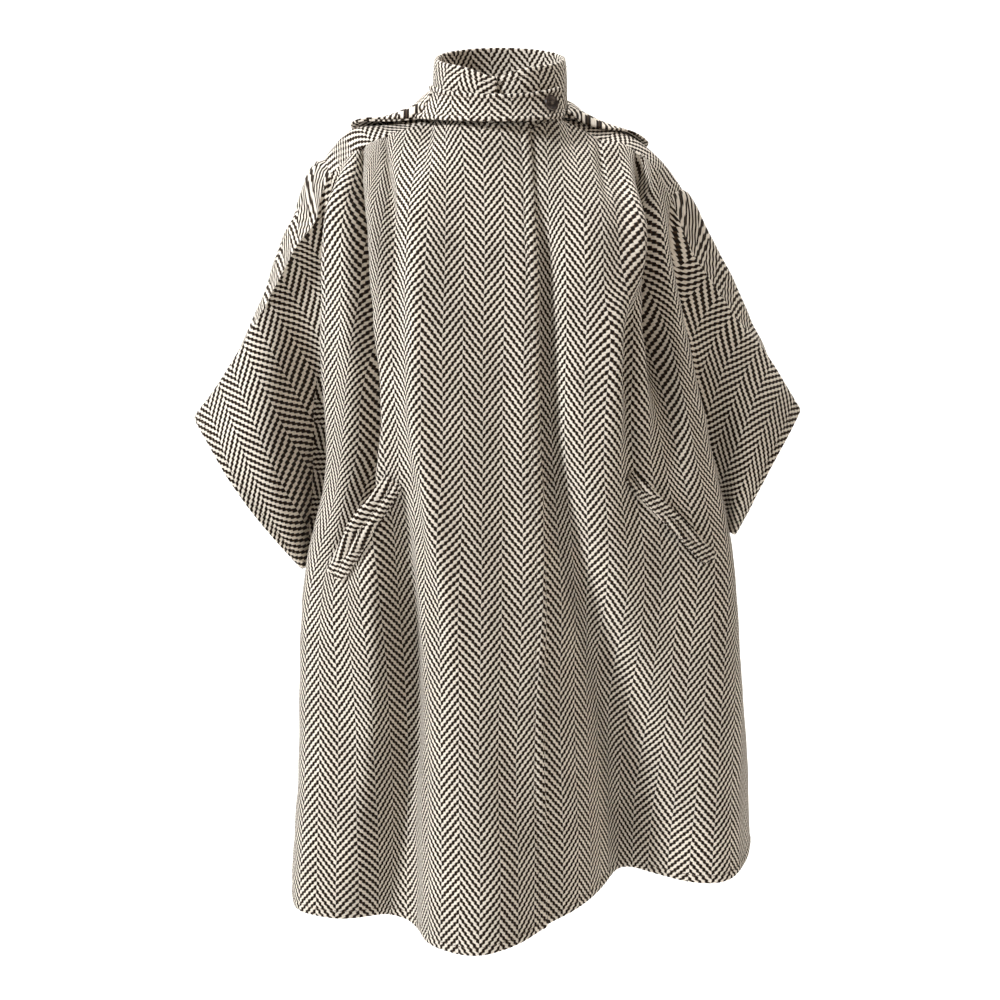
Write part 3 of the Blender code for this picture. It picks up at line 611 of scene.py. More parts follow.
    def fold_shift(self, face: Face, place: np.ndarray, level: np.ndarray) -> tuple[np.ndarray, np.ndarray]:
        """Work out how the folds move the cloth.

        Args:
            face: Front or back.
            place: Signed places across the panel.
            level: Levels down the panel.

        Returns:
            The lift along the cloth's normal, and the lean toward the wearer's left.
        """
        height = np.zeros_like(place)
        lean = np.zeros_like(place)
        for fold in self.folds[face]:
            knots, centres, heights, widths = np.array(fold.stops).T
            centre = smooth(knots, centres, level)
            spread = np.exp(-np.abs((place - centre) / smooth(knots, widths, level)) ** fold.steep)
            height += smooth(knots, heights, level) * spread
            if fold.leans:
                lean += smooth(knots, fold.leans, level) * spread
        fade = np.minimum(1.0, (1.0 - np.abs(place)) / self.fold_fade)
        return height * fade, lean * fade

    def dent_depth(self, place: np.ndarray, level: np.ndarray) -> np.ndarray:
        """Depth of the pocket mouths at places and levels of the front."""
        scale = np.array([self.place_length, self.level_length])
        at = np.stack([place, level], axis=-1) * scale
        depth = np.zeros_like(place)
        for dent in self.dents:
            start = np.array([dent.upper_place, dent.upper_level]) * scale
            run = np.array([dent.lower_place, dent.lower_level]) * scale - start
            share = np.clip((at - start) @ run / (run @ run), 0.0, 1.0)
            away = np.linalg.norm(at - start - share[..., None] * run, axis=-1)
            depth += dent.depth * np.sin(math.pi * share) * np.exp(-(away / dent.wide) ** 2)
        return depth

    def unevenness(self, points: np.ndarray) -> np.ndarray:
        """Lift of the soft unevenness of hanging cloth at a sheet's points."""
        return sum(height * ripple(points, pitch, seed) for height, pitch, seed in self.ripples)

    def unfolded(self, face: Face, place: np.ndarray, level: np.ndarray) -> np.ndarray:
        """Read the sheet of the front or back without its folds.

        Args:
            face: Front or back.
            place: Signed places, from -1 to 1.
            level: Levels, from 0 to 2.

        Returns:
            The points.
        """
        flat_place = place.ravel()
        flat_level = level.ravel()
        flat = np.zeros((flat_place.size, 3))
        for side in Side:
            chosen = (flat_place <= 0) if side == Side.RIGHT else (flat_place > 0)
            if chosen.any():
                levels, lines = self.side_lines(face, np.abs(flat_place[chosen]), side)
                flat[chosen] = down_lines(levels, lines, flat_level[chosen])
        hanging = flat_level > self.underarm
        flat[hanging, 1] = face * np.maximum(face * flat[hanging, 1], 0.0)
        return flat.reshape(place.shape + (3,))

    def points(self, face: Face, place: np.ndarray, level: np.ndarray, dented: bool = False) -> np.ndarray:
        """Read the sheet of the front or back.

        Args:
            face: Front or back.
            place: Signed places, from -1 to 1.
            level: Levels, from 0 to 2.
            dented: Whether the pocket mouths are pressed in.

        Returns:
            The points.
        """
        points = self.unfolded(face, place, level)
        normals = sheet_normals(points, (0.0, face, 0.0))
        height, lean = self.fold_shift(face, place, level)
        if dented:
            height = height - self.dent_depth(place, level)
        aside = unit(np.cross((0.0, 0.0, 1.0), normals))
        return points + normals * height[..., None] + aside * lean[..., None]


def linear_colour(code: str) -> tuple[float, float, float, float]:
    """Turn an sRGB hex colour into the linear one that shaders take.

    Args:
        code: Colour such as "#efe6d6".

    Returns:
        Linear red, green, blue and an alpha of 1.
    """
    channels = [int(code[start:start + 2], 16) / 255 for start in (1, 3, 5)]
    linear = [value / 12.92 if value <= 0.04045 else ((value + 0.055) / 1.055) ** 2.4 for value in channels]
    return (linear[0], linear[1], linear[2], 1.0)


def add_node(tree: bpy.types.NodeTree, kind: str, settings: Optional[dict] = None,
             inputs: Optional[dict] = None) -> bpy.types.Node:
    """Add a node with its settings, values and links.

    Args:
        tree: Node tree that gets the node.
        kind: Blender's name of the node type.
        settings: Node properties by name.
        inputs: Input values or output sockets to link, by input name or number.

    Returns:
        The new node.
    """
    node = tree.nodes.new(kind)
    for name, value in (settings or {}).items():
        setattr(node, name, value)
    for name, value in (inputs or {}).items():
        if isinstance(value, bpy.types.NodeSocket):
            tree.links.new(value, node.inputs[name])
        else:
            node.inputs[name].default_value = value
    return node


def mix_colours(tree: bpy.types.NodeTree, share: object, first: object,
                second: object) -> bpy.types.NodeSocket:
    """Add a mix of two colours, given as values or sockets, and give its result."""
    return add_node(tree, "ShaderNodeMix", {"data_type": "RGBA"}, {0: share, 6: first, 7: second}).outputs[2]


def map_range(tree: bpy.types.NodeTree, value: bpy.types.NodeSocket, span: tuple[float, float],
              target: tuple[float, float] = (0.0, 1.0), kind: str = "LINEAR") -> bpy.types.NodeSocket:
    """Add a mapping of a value.

    Args:
        tree: Node tree that gets the mapping.
        value: Socket of the value.
        span: Values that are mapped on to the two ends of the target.
        target: Ends of the result.
        kind: Blender's name of the way between them.

    Returns:
        The socket of the result.
    """
    return add_node(tree, "ShaderNodeMapRange", {"interpolation_type": kind},
                    {"Value": value, "From Min": span[0], "From Max": span[1],
                     "To Min": target[0], "To Max": target[1]}).outputs["Result"]


def new_material(name: str) -> tuple[bpy.types.Material, bpy.types.NodeTree, bpy.types.Node]:
    """Make a node material.

    Args:
        name: Name of the material.

    Returns:
        The material, its node tree and its main shader.
    """
    made = bpy.data.materials.new(name)
    made.use_nodes = True
    return made, made.node_tree, made.node_tree.nodes["Principled BSDF"]


def link_object(name: str, data: bpy.types.ID) -> bpy.types.Object:
    """Make an object of a mesh, light or camera and link it to the scene.

    Args:
        name: Name of the object.
        data: What it shows.

    Returns:
        The object.
    """
    made = bpy.data.objects.new(name, data)
    bpy.context.scene.collection.objects.link(made)
    return made


@dataclass(frozen=True)
class TweedFinish:
    """Herringbone wool tweed, woven of cream and dark brown yarn and lightly milled.

    The eye sees cream and dark diagonal stripes that turn at every column, the yarns as small
    steps along the stripes' edges, flecks in the dark yarn, and a dull woolly surface.  The columns
    and stripes have the photograph's sizes; the steps are coarser than real yarn, as they show there.
    """

    name: str = "wool_herringbone_tweed"
    cream: str = "#f1e9dc"
    cream_shade: str = "#c9bdab"
    dark: str = "#120a05"
    dark_fleck: str = "#57432f"
    column_mm: float = 24.0
    stripe_mm: float = 10.0
    slope: float = 1.22
    yarn_mm: float = 3.43
    step_softness: float = 0.45
    cream_share: float = 0.46
    edge: float = 0.28
    drift_mm: float = 14.0
    drift_detail: float = 2.0
    drift_roughness: float = 0.6
    wobble_mm: float = 0.8
    hair_mm: float = 1.6
    hair_detail: float = 3.0
    hair_roughness: float = 0.7
    hair_flecks: float = 1.6
    fleck_span: tuple[float, float] = (0.3, 2.1)
    fleck_share: float = 0.70
    shade_span: tuple[float, float] = (0.45, 0.70)
    shade_share: float = 0.7
    patch_mm: float = 60.0
    patch_detail: float = 3.0
    patch_roughness: float = 0.5
    patch_span: tuple[float, float] = (0.3, 0.7)
    patch_tone: tuple[float, float] = (0.93, 1.05)
    rib_height: float = 0.25
    hair_height: float = 0.8
    bump_mm: float = 0.7
    bump_strength: float = 0.7
    roughness: float = 0.95
    specular: float = 0.15
    sheen: float = 0.05
    sheen_roughness: float = 0.6

    def material(self) -> bpy.types.Material:
        """Build the tweed's node material.

        Returns:
            The material, which reads the piece's flat cloth coordinates in metres.
        """
        made, tree, shader = new_material(self.name)
        column = self.column_mm * MILLIMETRE
        stripe = self.stripe_mm * MILLIMETRE
        yarn = self.yarn_mm * MILLIMETRE
        cloth = add_node(tree, "ShaderNodeUVMap", {"uv_map": WEAVE_MAP}).outputs["UV"]

        def calculate(operation: str, first: object, second: object = 0.0,
                      third: object = 0.0) -> bpy.types.NodeSocket:
            """Add a calculation on numbers and give its result."""
            return add_node(tree, "ShaderNodeMath", {"operation": operation},
                            {0: first, 1: second, 2: third}).outputs[0]

        def noise(grain_mm: float, detail: float, roughness: float) -> bpy.types.Node:
            """Add a noise over the flat cloth, with grains of about the given size."""
            return add_node(tree, "ShaderNodeTexNoise", {"noise_dimensions": "2D"},
                            {"Vector": cloth, "Scale": 1 / (grain_mm * MILLIMETRE), "Detail": detail,
                             "Roughness": roughness})

        drift = noise(self.drift_mm, self.drift_detail, self.drift_roughness)
        centred = add_node(tree, "ShaderNodeVectorMath", {"operation": "SUBTRACT"},
                           {0: drift.outputs["Color"], 1: (0.5, 0.5, 0.5)})
        shifted = add_node(tree, "ShaderNodeVectorMath", {"operation": "MULTIPLY_ADD"},
                           {0: centred.outputs[0], 1: (2 * self.wobble_mm * MILLIMETRE,) * 3, 2: cloth})
        parts = add_node(tree, "ShaderNodeSeparateXYZ", inputs={0: shifted.outputs[0]})
        across, up = parts.outputs["X"], parts.outputs["Y"]

        turn = calculate("PINGPONG", across, column)
        stepped = calculate("SNAP", turn, yarn)
        beyond = calculate("SUBTRACT", turn, stepped)
        softened = calculate("MULTIPLY_ADD", beyond, self.step_softness, stepped)
        half = calculate("FLOORED_MODULO", calculate("FLOOR", calculate("DIVIDE", across, column)), 2.0)
        rise = calculate("MULTIPLY_ADD", softened, self.slope, up)
        phase = calculate("MULTIPLY_ADD", half, 0.5, calculate("DIVIDE", rise, stripe))
        wave = calculate("SINE", calculate("MULTIPLY", phase, 2 * math.pi))
        middle = math.cos(math.pi * self.cream_share)
        light = map_range(tree, wave, (middle - self.edge, middle + self.edge), kind="SMOOTHSTEP")

        bead = calculate("COSINE", calculate("MULTIPLY", turn, 2 * math.pi / yarn))
        hair = noise(self.hair_mm, self.hair_detail, self.hair_roughness).outputs["Fac"]
        patch = noise(self.patch_mm, self.patch_detail, self.patch_roughness).outputs["Fac"]
        grain = calculate("MULTIPLY_ADD", hair, self.hair_flecks, bead)
        flecks = map_range(tree, grain, self.fleck_span, (0.0, self.fleck_share))
        shades = map_range(tree, hair, self.shade_span, (0.0, self.shade_share))
        dark = mix_colours(tree, flecks, linear_colour(self.dark), linear_colour(self.dark_fleck))
        cream = mix_colours(tree, shades, linear_colour(self.cream), linear_colour(self.cream_shade))
        woven = mix_colours(tree, light, dark, cream)
        tone = map_range(tree, patch, self.patch_span, self.patch_tone)
        shaded = add_node(tree, "ShaderNodeHueSaturation", {}, {"Color": woven, "Value": tone})
        tree.links.new(shaded.outputs["Color"], shader.inputs["Base Color"])

        rib = calculate("DIVIDE", calculate("PINGPONG", turn, yarn / 2), yarn / 2)
        height = calculate("MULTIPLY_ADD", rib, self.rib_height, light)
        height = calculate("MULTIPLY_ADD", hair, self.hair_height, height)
        bump = add_node(tree, "ShaderNodeBump", {},
                        {"Height": height, "Strength": self.bump_strength,
                         "Distance": self.bump_mm * MILLIMETRE})
        tree.links.new(bump.outputs["Normal"], shader.inputs["Normal"])
        shader.inputs["Roughness"].default_value = self.roughness
        shader.inputs["Specular IOR Level"].default_value = self.specular
        shader.inputs["Sheen Weight"].default_value = self.sheen
        shader.inputs["Sheen Roughness"].default_value = self.sheen_roughness
        return made


@dataclass(frozen=True)
class ThreadFinish:
    """Spun polyester sewing thread, dull and slightly twisted, which shows as short dark dashes."""

    name: str = "sewing_thread"
    colour: str = "#4d4136"
    light_colour: str = "#85786a"
    twist_mm: float = 0.8
    distortion: float = 1.5
    roughness: float = 0.7

    def material(self) -> bpy.types.Material:
        """Build the thread's material, with fine bands of twist along it."""
        made, tree, shader = new_material(self.name)
        place = add_node(tree, "ShaderNodeTexCoord").outputs["Object"]
        band = add_node(tree, "ShaderNodeTexWave", {"bands_direction": "DIAGONAL"},
                        {"Vector": place, "Scale": WAVE_SPAN / (self.twist_mm * MILLIMETRE),
                         "Distortion": self.distortion})
        colour = mix_colours(tree, band.outputs["Fac"], linear_colour(self.colour),
                             linear_colour(self.light_colour))
        tree.links.new(colour, shader.inputs["Base Color"])
        shader.inputs["Roughness"].default_value = self.roughness
        return made


@dataclass(frozen=True)
class HornFinish:
    """Turned and polished dark horn: near black, with brown clouds and a soft gloss."""

    name: str = "polished_dark_horn"
    dark: str = "#241c1a"
    brown: str = "#4d3b31"
    cloud_mm: float = 5.0
    cloud_detail: float = 4.0
    cloud_distortion: float = 0.6
    cloud_span: tuple[float, float] = (0.42, 0.68)
    mark_mm: float = 0.6
    mark_detail: float = 2.0
    roughness: tuple[float, float] = (0.26, 0.42)
    refraction: float = 1.54
    coat: float = 0.25
    coat_roughness: float = 0.2

    def material(self) -> bpy.types.Material:
        """Build the horn's material, with clouds and fine turning marks."""
        made, tree, shader = new_material(self.name)
        place = add_node(tree, "ShaderNodeTexCoord").outputs["Object"]
        cloud = add_node(tree, "ShaderNodeTexNoise", {},
                         {"Vector": place, "Scale": 1 / (self.cloud_mm * MILLIMETRE),
                          "Detail": self.cloud_detail, "Distortion": self.cloud_distortion})
        share = map_range(tree, cloud.outputs["Fac"], self.cloud_span)
        colour = mix_colours(tree, share, linear_colour(self.dark), linear_colour(self.brown))
        tree.links.new(colour, shader.inputs["Base Color"])
        marks = add_node(tree, "ShaderNodeTexNoise", {},
                         {"Vector": place, "Scale": 1 / (self.mark_mm * MILLIMETRE),
                          "Detail": self.mark_detail})
        rough = map_range(tree, marks.outputs["Fac"], (0.0, 1.0), self.roughness)
        tree.links.new(rough, shader.inputs["Roughness"])
        shader.inputs["IOR"].default_value = self.refraction
        shader.inputs["Coat Weight"].default_value = self.coat
        shader.inputs["Coat Roughness"].default_value = self.coat_roughness
        return made


@dataclass(frozen=True)
class Wardrobe:
    """The finishes' materials, made once and shared by the pieces."""

    tweed: bpy.types.Material
    thread: bpy.types.Material
    horn: bpy.types.Material


def seam_normals(sheets: Sequence[Sheet]) -> None:
    """Give sheets their normals, shared where two or more of them are sewn together.

    Args:
        sheets: Sheets whose seam edges have the same points.
    """
    meeting: dict[tuple, np.ndarray] = {}
    for sheet in sheets:
        sheet.normals = sheet_normals(sheet.points, sheet.outward)
        edge = edge_mask(sheet.points)
        for point, normal in zip(sheet.points[edge], sheet.normals[edge]):
            key = tuple(np.round(point, SEAM_DIGITS) + 0.0)
            meeting[key] = meeting.get(key, 0.0) + normal
    for sheet in sheets:
        edge = edge_mask(sheet.points)
        shared = [meeting[tuple(np.round(point, SEAM_DIGITS) + 0.0)] for point in sheet.points[edge]]
        sheet.normals[edge] = unit(np.array(shared))


def edge_mask(points: np.ndarray) -> np.ndarray:
    """Mark the points on the four edges of a sheet."""
    mask = np.zeros(points.shape[:2], bool)
    mask[[0, -1], :] = True
    mask[:, [0, -1]] = True
    return mask


def cloth_wall(sheet: Sheet, material: bpy.types.Material) -> bpy.types.Object:
    """Make the wall of cloth about a sheet, with a rounded edge and the weave's coordinates.

    Args:
        sheet: Sheet with its normals worked out.
        material: The cloth's material.

    Returns:
        The linked object, with its place in its mesh.
    """
    rows, columns = sheet.points.shape[:2]
    half = sheet.normals * sheet.thickness / 2
    outer = (sheet.points + half).reshape(-1, 3)
    inner = (sheet.points - half).reshape(-1, 3)
    index = np.arange(rows * columns).reshape(rows, columns)
    quads = np.stack([index[:-1, :-1], index[1:, :-1], index[1:, 1:], index[:-1, 1:]], axis=-1).reshape(-1, 4)
    first = quads[0]
    facing = np.cross(outer[first[1]] - outer[first[0]], outer[first[3]] - outer[first[0]])
    if np.dot(facing, half.reshape(-1, 3)[first[0]]) < 0:
        quads = quads[:, ::-1]
    border = np.concatenate([index[:-1, 0], index[-1, :-1], index[:0:-1, -1], index[0, :0:-1]])
    inside = np.concatenate([index[:-1, 1], index[-2, :-1], index[:0:-1, -2], index[1, :0:-1]])
    flat_points = sheet.points.reshape(-1, 3)
    away = unit(flat_points[border] - flat_points[inside])
    half_border = half.reshape(-1, 3)[border]
    count = rows * columns
    loops = [border]
    vertices = [outer, inner]
    for turn in np.linspace(math.pi / 2, -math.pi / 2, RIM_LOOPS + 2)[1:-1]:
        bulge = away * sheet.thickness / 2 * RIM_BULGE * math.cos(turn)
        loops.append(2 * count + (len(loops) - 1) * len(border) + np.arange(len(border)))
        vertices.append(flat_points[border] + half_border * math.sin(turn) + bulge)
    loops.append(border + count)
    vertices = np.concatenate(vertices)
    following = np.roll(np.arange(len(border)), -1)
    strips = [np.stack([upper, upper[following], lower[following], lower], axis=-1)
              for upper, lower in zip(loops, loops[1:])]
    face = strips[0][0]
    lean = np.cross(vertices[face[1]] - vertices[face[0]], vertices[face[3]] - vertices[face[0]])
    if np.dot(lean, away[0] + half_border[0] / sheet.thickness) < 0:
        strips = [strip[:, ::-1] for strip in strips]
    faces = np.concatenate([quads, quads[:, ::-1] + count] + strips)
    flat = sheet.flat.reshape(-1, 2)
    flat = np.concatenate([flat, flat] + [flat[border]] * RIM_LOOPS)
    mesh = bpy.data.meshes.new(sheet.name)
    mesh.from_pydata(vertices.tolist(), [], faces.tolist())
    weave = mesh.uv_layers.new(name=WEAVE_MAP)
    weave.data.foreach_set("uv", flat[faces.ravel()].astype(np.float32).ravel())
    mesh.shade_smooth()
    mesh.materials.append(material)
    return link_object(sheet.name, mesh)


def sheet_area(points: np.ndarray) -> float:
    """Area of a sheet of points, in square metres."""
    first = np.cross(points[1:, :-1] - points[:-1, :-1], points[:-1, 1:] - points[:-1, :-1])
    second = np.cross(points[1:, :-1] - points[1:, 1:], points[:-1, 1:] - points[1:, 1:])
    return float((np.linalg.norm(first, axis=-1) + np.linalg.norm(second, axis=-1)).sum() / 2)


def dress(piece: bpy.types.Object, nodes: Sequence[str] = ()) -> bpy.types.Object:
    """Let a piece ride on the cape and the nodes it stands for."""
    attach(piece, BODY)
    if nodes:
        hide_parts(*nodes)
    LOG.info("made %s with %d faces", piece.name, len(piece.data.polygons))
    return piece


def make_cloth(sheet: Sheet, node: str, material: bpy.types.Material) -> bpy.types.Object:
    """Make a piece of cloth from its sheet.

    Args:
        sheet: Sheet of the piece.
        node: Node that the piece stands for.
        material: The cloth's material.

    Returns:
        The finished piece.
    """
    if sheet.normals is None:
        sheet.normals = sheet_normals(sheet.points, sheet.outward)
    piece = dress(cloth_wall(sheet, material), (node,))
    area = sheet_area(sheet.points)
    return piece


@dataclass
class SeamLine:
    """Line of stitches on a sheet, as points with the cloth's outward direction there."""

    points: np.ndarray
    up: np.ndarray


def seam_line(sheet: Sheet, rows: np.ndarray, columns: np.ndarray) -> SeamLine:
    """Read a line of stitches off a sheet's outer face.

    Args:
        sheet: Sheet with its normals.
        rows: Row of each point, with fractions.
        columns: Column of each point, with fractions.

    Returns:
        The line.
    """
    rows = np.clip(rows, 0, sheet.points.shape[0] - LAST_CELL)
    columns = np.clip(columns, 0, sheet.points.shape[1] - LAST_CELL)
    row, column = rows.astype(int), columns.astype(int)
    down, across = (rows - row)[:, None], (columns - column)[:, None]

    def read(values: np.ndarray) -> np.ndarray:
        """Read values between the sheet's points."""
        upper = values[row, column] * (1 - across) + values[row, column + 1] * across
        lower = values[row + 1, column] * (1 - across) + values[row + 1, column + 1] * across
        return upper * (1 - down) + lower * down

    up = unit(read(sheet.normals))
    return SeamLine(read(sheet.points) + up * (sheet.thickness / 2 + THREAD_PROUD), up)


@dataclass
class Stitching:
    """Rows of stitches: dashes of thread laid along lines on the cloth.

    The thread is drawn thicker than real sewing thread, so that the stitches show.
    """

    length: float = 0.0042
    pitch: float = 0.0062
    thread: float = 0.00045
    segments: int = 8
    rings: int = 6

    @classmethod
    def fine(cls) -> "Stitching":
        """Shorter stitches, for the small pieces."""
        return cls(length=0.0036, pitch=0.0052)

    def tree(self, material: bpy.types.Material) -> bpy.types.NodeTree:
        """Build the node tree that lays dashes of thread along edge paths.

        Args:
            material: The thread's material.

        Returns:
            The tree, with inputs for the stitch's length, pitch and thickness.
        """
        tree = bpy.data.node_groups.new("stitch_rows", "GeometryNodeTree")
        tree.interface.new_socket("Path", in_out="INPUT", socket_type="NodeSocketGeometry")
        for name in ("Length", "Pitch", "Thread"):
            tree.interface.new_socket(name, in_out="INPUT", socket_type="NodeSocketFloat")
        tree.interface.new_socket("Stitches", in_out="OUTPUT", socket_type="NodeSocketGeometry")
        start = tree.nodes.new("NodeGroupInput")
        curve = add_node(tree, "GeometryNodeMeshToCurve", inputs={0: start.outputs["Path"]})
        dashes = add_node(tree, "GeometryNodeCurveToPoints", {"mode": "LENGTH"},
                          {"Curve": curve.outputs[0], "Length": start.outputs["Pitch"]})
        up = add_node(tree, "GeometryNodeInputNamedAttribute", {"data_type": "FLOAT_VECTOR"},
                      {"Name": UP_ATTRIBUTE})
        turn = add_node(tree, "FunctionNodeAxesToRotation", {"primary_axis": "X", "secondary_axis": "Z"},
                        {0: dashes.outputs["Tangent"], 1: up.outputs["Attribute"]})
        ball = add_node(tree, "GeometryNodeMeshUVSphere",
                        inputs={"Segments": self.segments, "Rings": self.rings, "Radius": 0.5})
        thread = start.outputs["Thread"]
        size = add_node(tree, "ShaderNodeCombineXYZ",
                        inputs={0: start.outputs["Length"], 1: thread, 2: thread})
        laid = add_node(tree, "GeometryNodeInstanceOnPoints", {},
                        {"Points": dashes.outputs["Points"], "Instance": ball.outputs["Mesh"],
                         "Rotation": turn.outputs[0], "Scale": size.outputs[0]})
        real = add_node(tree, "GeometryNodeRealizeInstances", inputs={0: laid.outputs[0]})
        coloured = add_node(tree, "GeometryNodeSetMaterial",
                            inputs={"Geometry": real.outputs[0], "Material": material})
        end = tree.nodes.new("NodeGroupOutput")
        tree.links.new(coloured.outputs[0], end.inputs[0])
        return tree

    def lay(self, name: str, lines: Sequence[SeamLine], material: bpy.types.Material) -> bpy.types.Object:
        """Lay stitches along lines and turn the result into a plain mesh.

        Args:
            name: Name of the piece.
            lines: Lines to sew along.
            material: The thread's material.

        Returns:
            The finished piece.
        """
        points: list[np.ndarray] = []
        edges: list[tuple[int, int]] = []
        for line in lines:
            start = len(points)
            points.extend(line.points)
            edges.extend((place, place + 1) for place in range(start, len(points) - 1))
        paths = bpy.data.meshes.new(name + "_paths")
        paths.from_pydata([tuple(point) for point in points], edges, [])
        up = paths.attributes.new(UP_ATTRIBUTE, "FLOAT_VECTOR", "POINT")
        up.data.foreach_set("vector", np.concatenate([line.up for line in lines]).astype(np.float32).ravel())
        guide = link_object(name + "_guide", paths)
        modifier = guide.modifiers.new("stitches", "NODES")
        modifier.node_group = self.tree(material)
        sizes = {"Length": self.length, "Pitch": self.pitch, "Thread": self.thread * 2}
        for socket in modifier.node_group.interface.items_tree:
            if socket.name in sizes:
                modifier[socket.identifier] = sizes[socket.name]
        graph = bpy.context.evaluated_depsgraph_get()
        mesh = bpy.data.meshes.new_from_object(guide.evaluated_get(graph))
        guide.modifiers.remove(modifier)
        bpy.data.objects.remove(guide)
        mesh.name = name
        mesh.shade_smooth()
        return dress(link_object(name, mesh))


@dataclass
class Panels:
    """The panels that are sewn edge to edge: two fronts, the back and the sleeves' four halves."""

    form: WornForm
    cloth: float = 0.0024
    lap_gap: float = 0.0006
    lap_run: float = 0.08
    lap_drop: float = 0.018
    edge_levels: tuple[float, ...] = (0.0, 0.09, 0.27, 0.56, 0.84, 1.08, 1.585, 1.77, 2.0)
    edge_places: tuple[float, ...] = (0.140, 0.158, 0.170, 0.155, 0.150, 0.145, 0.132, 0.140, 0.136)
    edge_band: float = 0.0115
    edge_puff: float = 0.0013
    edge_lift: float = 0.0030
    edge_groove: float = 0.25
    lift_level: float = 0.65
    lift_run: float = 0.45
    lift_bands: float = 1.8
    seam_depth: float = 0.0012
    seam_wide: float = 0.0040
    shoulder_columns: int = 78
    overlap_columns: int = 62
    underlap_columns: int = 22
    left_neck_columns: int = 30
    back_neck_columns: int = 44
    armhole_rows: int = 96
    even_rows: float = 40.0
    even_sleeve_rows: float = 8.0
    lower_rows: int = 84
    sleeve_rows: int = 60
    hem_band: float = 0.009
    hem_puff: float = 0.0007
    hem_groove: float = 0.0007
    hem_groove_wide: float = 0.22
    sleeve_bow: dict[Side, float] = per_side(0.0, -0.007)
    sleeve_swell: dict[Face, float] = per_face(0.045, 0.055)
    sleeve_hollow: dict[Side, float] = per_side(0.068, 0.0)
    hollow_place: float = 0.27
    hollow_width: float = 0.28
    hollow_start: float = 0.12
    sleeve_bulge: float = 0.020
    bulge_place: float = 0.72
    bulge_width: float = 0.22
    sleeve_end: float = 0.012
    sleeve_crown: dict[Side, float] = per_side(0.027, 0.024)
    crown_place: float = 0.86
    crown_width: float = 0.12
    crown_rise: float = 0.5
    crown_run: dict[Side, float] = per_side(0.36, 0.55)
    sleeve_grain: dict[Face, float] = per_face(22.0, 55.0)
    over_arm: dict[Side, tuple[ArmStop, ...]] = field(default_factory=lambda: {
        Side.RIGHT: (
            ArmStop(0.2105, 0.082, 0.036),
            ArmStop(0.2170, 0.112, 0.034),
            ArmStop(0.2385, 0.139, 0.026),
            ArmStop(0.2605, 0.175, 0.008),
            ArmStop(0.2865, 0.2205, 0.0),
            ArmStop(0.3200, 0.276, 0.0),
            ArmStop(0.3720, 0.3525, 0.0),
        ),
        Side.LEFT: (
            ArmStop(0.2129, 0.114, 0.035),
            ArmStop(0.2293, 0.152, 0.030),
            ArmStop(0.2628, 0.2006, 0.020),
            ArmStop(0.2920, 0.2400, 0.010),
            ArmStop(0.3135, 0.2605, 0.0),
            ArmStop(0.3420, 0.2995, 0.0),
            ArmStop(0.3670, 0.3415, 0.0),
        ),
    })
    sheets: dict[str, Sheet] = field(default_factory=dict)

    def levels(self) -> np.ndarray:
        """Levels of the panels' rows, from the top edge to the hem."""
        upper = np.linspace(0.0, self.form.underarm, self.armhole_rows + 1)
        lower = np.linspace(self.form.underarm, self.form.hem, self.lower_rows + 1)
        return np.concatenate([upper, lower[1:]])

    def closing_edge(self, level: np.ndarray) -> np.ndarray:
        """Place of the right front's closing edge at each level."""
        return smooth(self.edge_levels, self.edge_places, level)

    def hang_flat(self, points: np.ndarray, unfolded: np.ndarray, middle: int) -> np.ndarray:
        """Work out the flat cloth coordinates of a hanging panel.

        Args:
            points: Sheet of the panel.
            unfolded: The same sheet before its folds.
            middle: Column at which the cloth's width is zero.

        Returns:
            Width from the middle column, evened out down the columns, and length up the unfolded columns.
        """
        across = evened(lengths(points, 1, middle), self.even_rows)
        row = self.armhole_rows
        up = unfolded[row:row + 1, :, 2] - lengths(unfolded, 0, row)
        return np.stack([across, up], axis=-1)

    def front(self, side: Side) -> Sheet:
        """Sheet of one front, from its side seam to its own edge at the closing."""
        form = self.form
        level = self.levels()[:, None]
        edge = self.closing_edge(level)
        shoulder = np.linspace(1.0, form.neck_share, self.shoulder_columns + 1)[None, :-1]
        shoulder = np.repeat(shoulder, len(level), axis=0)
        lap = np.linspace(0.0, 1.0, self.overlap_columns + 1) * (form.neck_share + edge) - form.neck_share
        if side == Side.RIGHT:
            place = np.concatenate([-shoulder, lap], axis=1)
        else:
            shares = np.linspace(0.0, 1.0, self.left_neck_columns + 1)[None, 1:]
            rest = edge + shares * (form.neck_share - edge)
            place = np.concatenate([lap[:, -1 - self.underlap_columns:], rest, shoulder[:, ::-1]], axis=1)
        level = np.repeat(level, place.shape[1], axis=1)
        if side == Side.RIGHT:
            points = self.close_edge(form.points(Face.FRONT, place, level, True), level)
            middle = int(np.argmin(np.abs(place[0])))
        else:
            under = ease((edge + self.lap_run - place) / self.lap_run)
            points = form.points(Face.FRONT, place, np.maximum(level, self.lap_drop * under), True)
            normals = sheet_normals(points, (0.0, Face.FRONT, 0.0))
            points = points - normals * ((self.cloth + self.lap_gap) * under)[..., None]
            middle = self.underlap_columns
        sewn = ("top", "first" if side == Side.RIGHT else "last")
        flat = self.hang_flat(points, form.unfolded(Face.FRONT, place, level), middle)
        return Sheet("front_" + side.name.lower(), points, flat, (0.0, Face.FRONT, 0.0),
                     self.cloth, Hold.HUNG, ("back",), sewn)

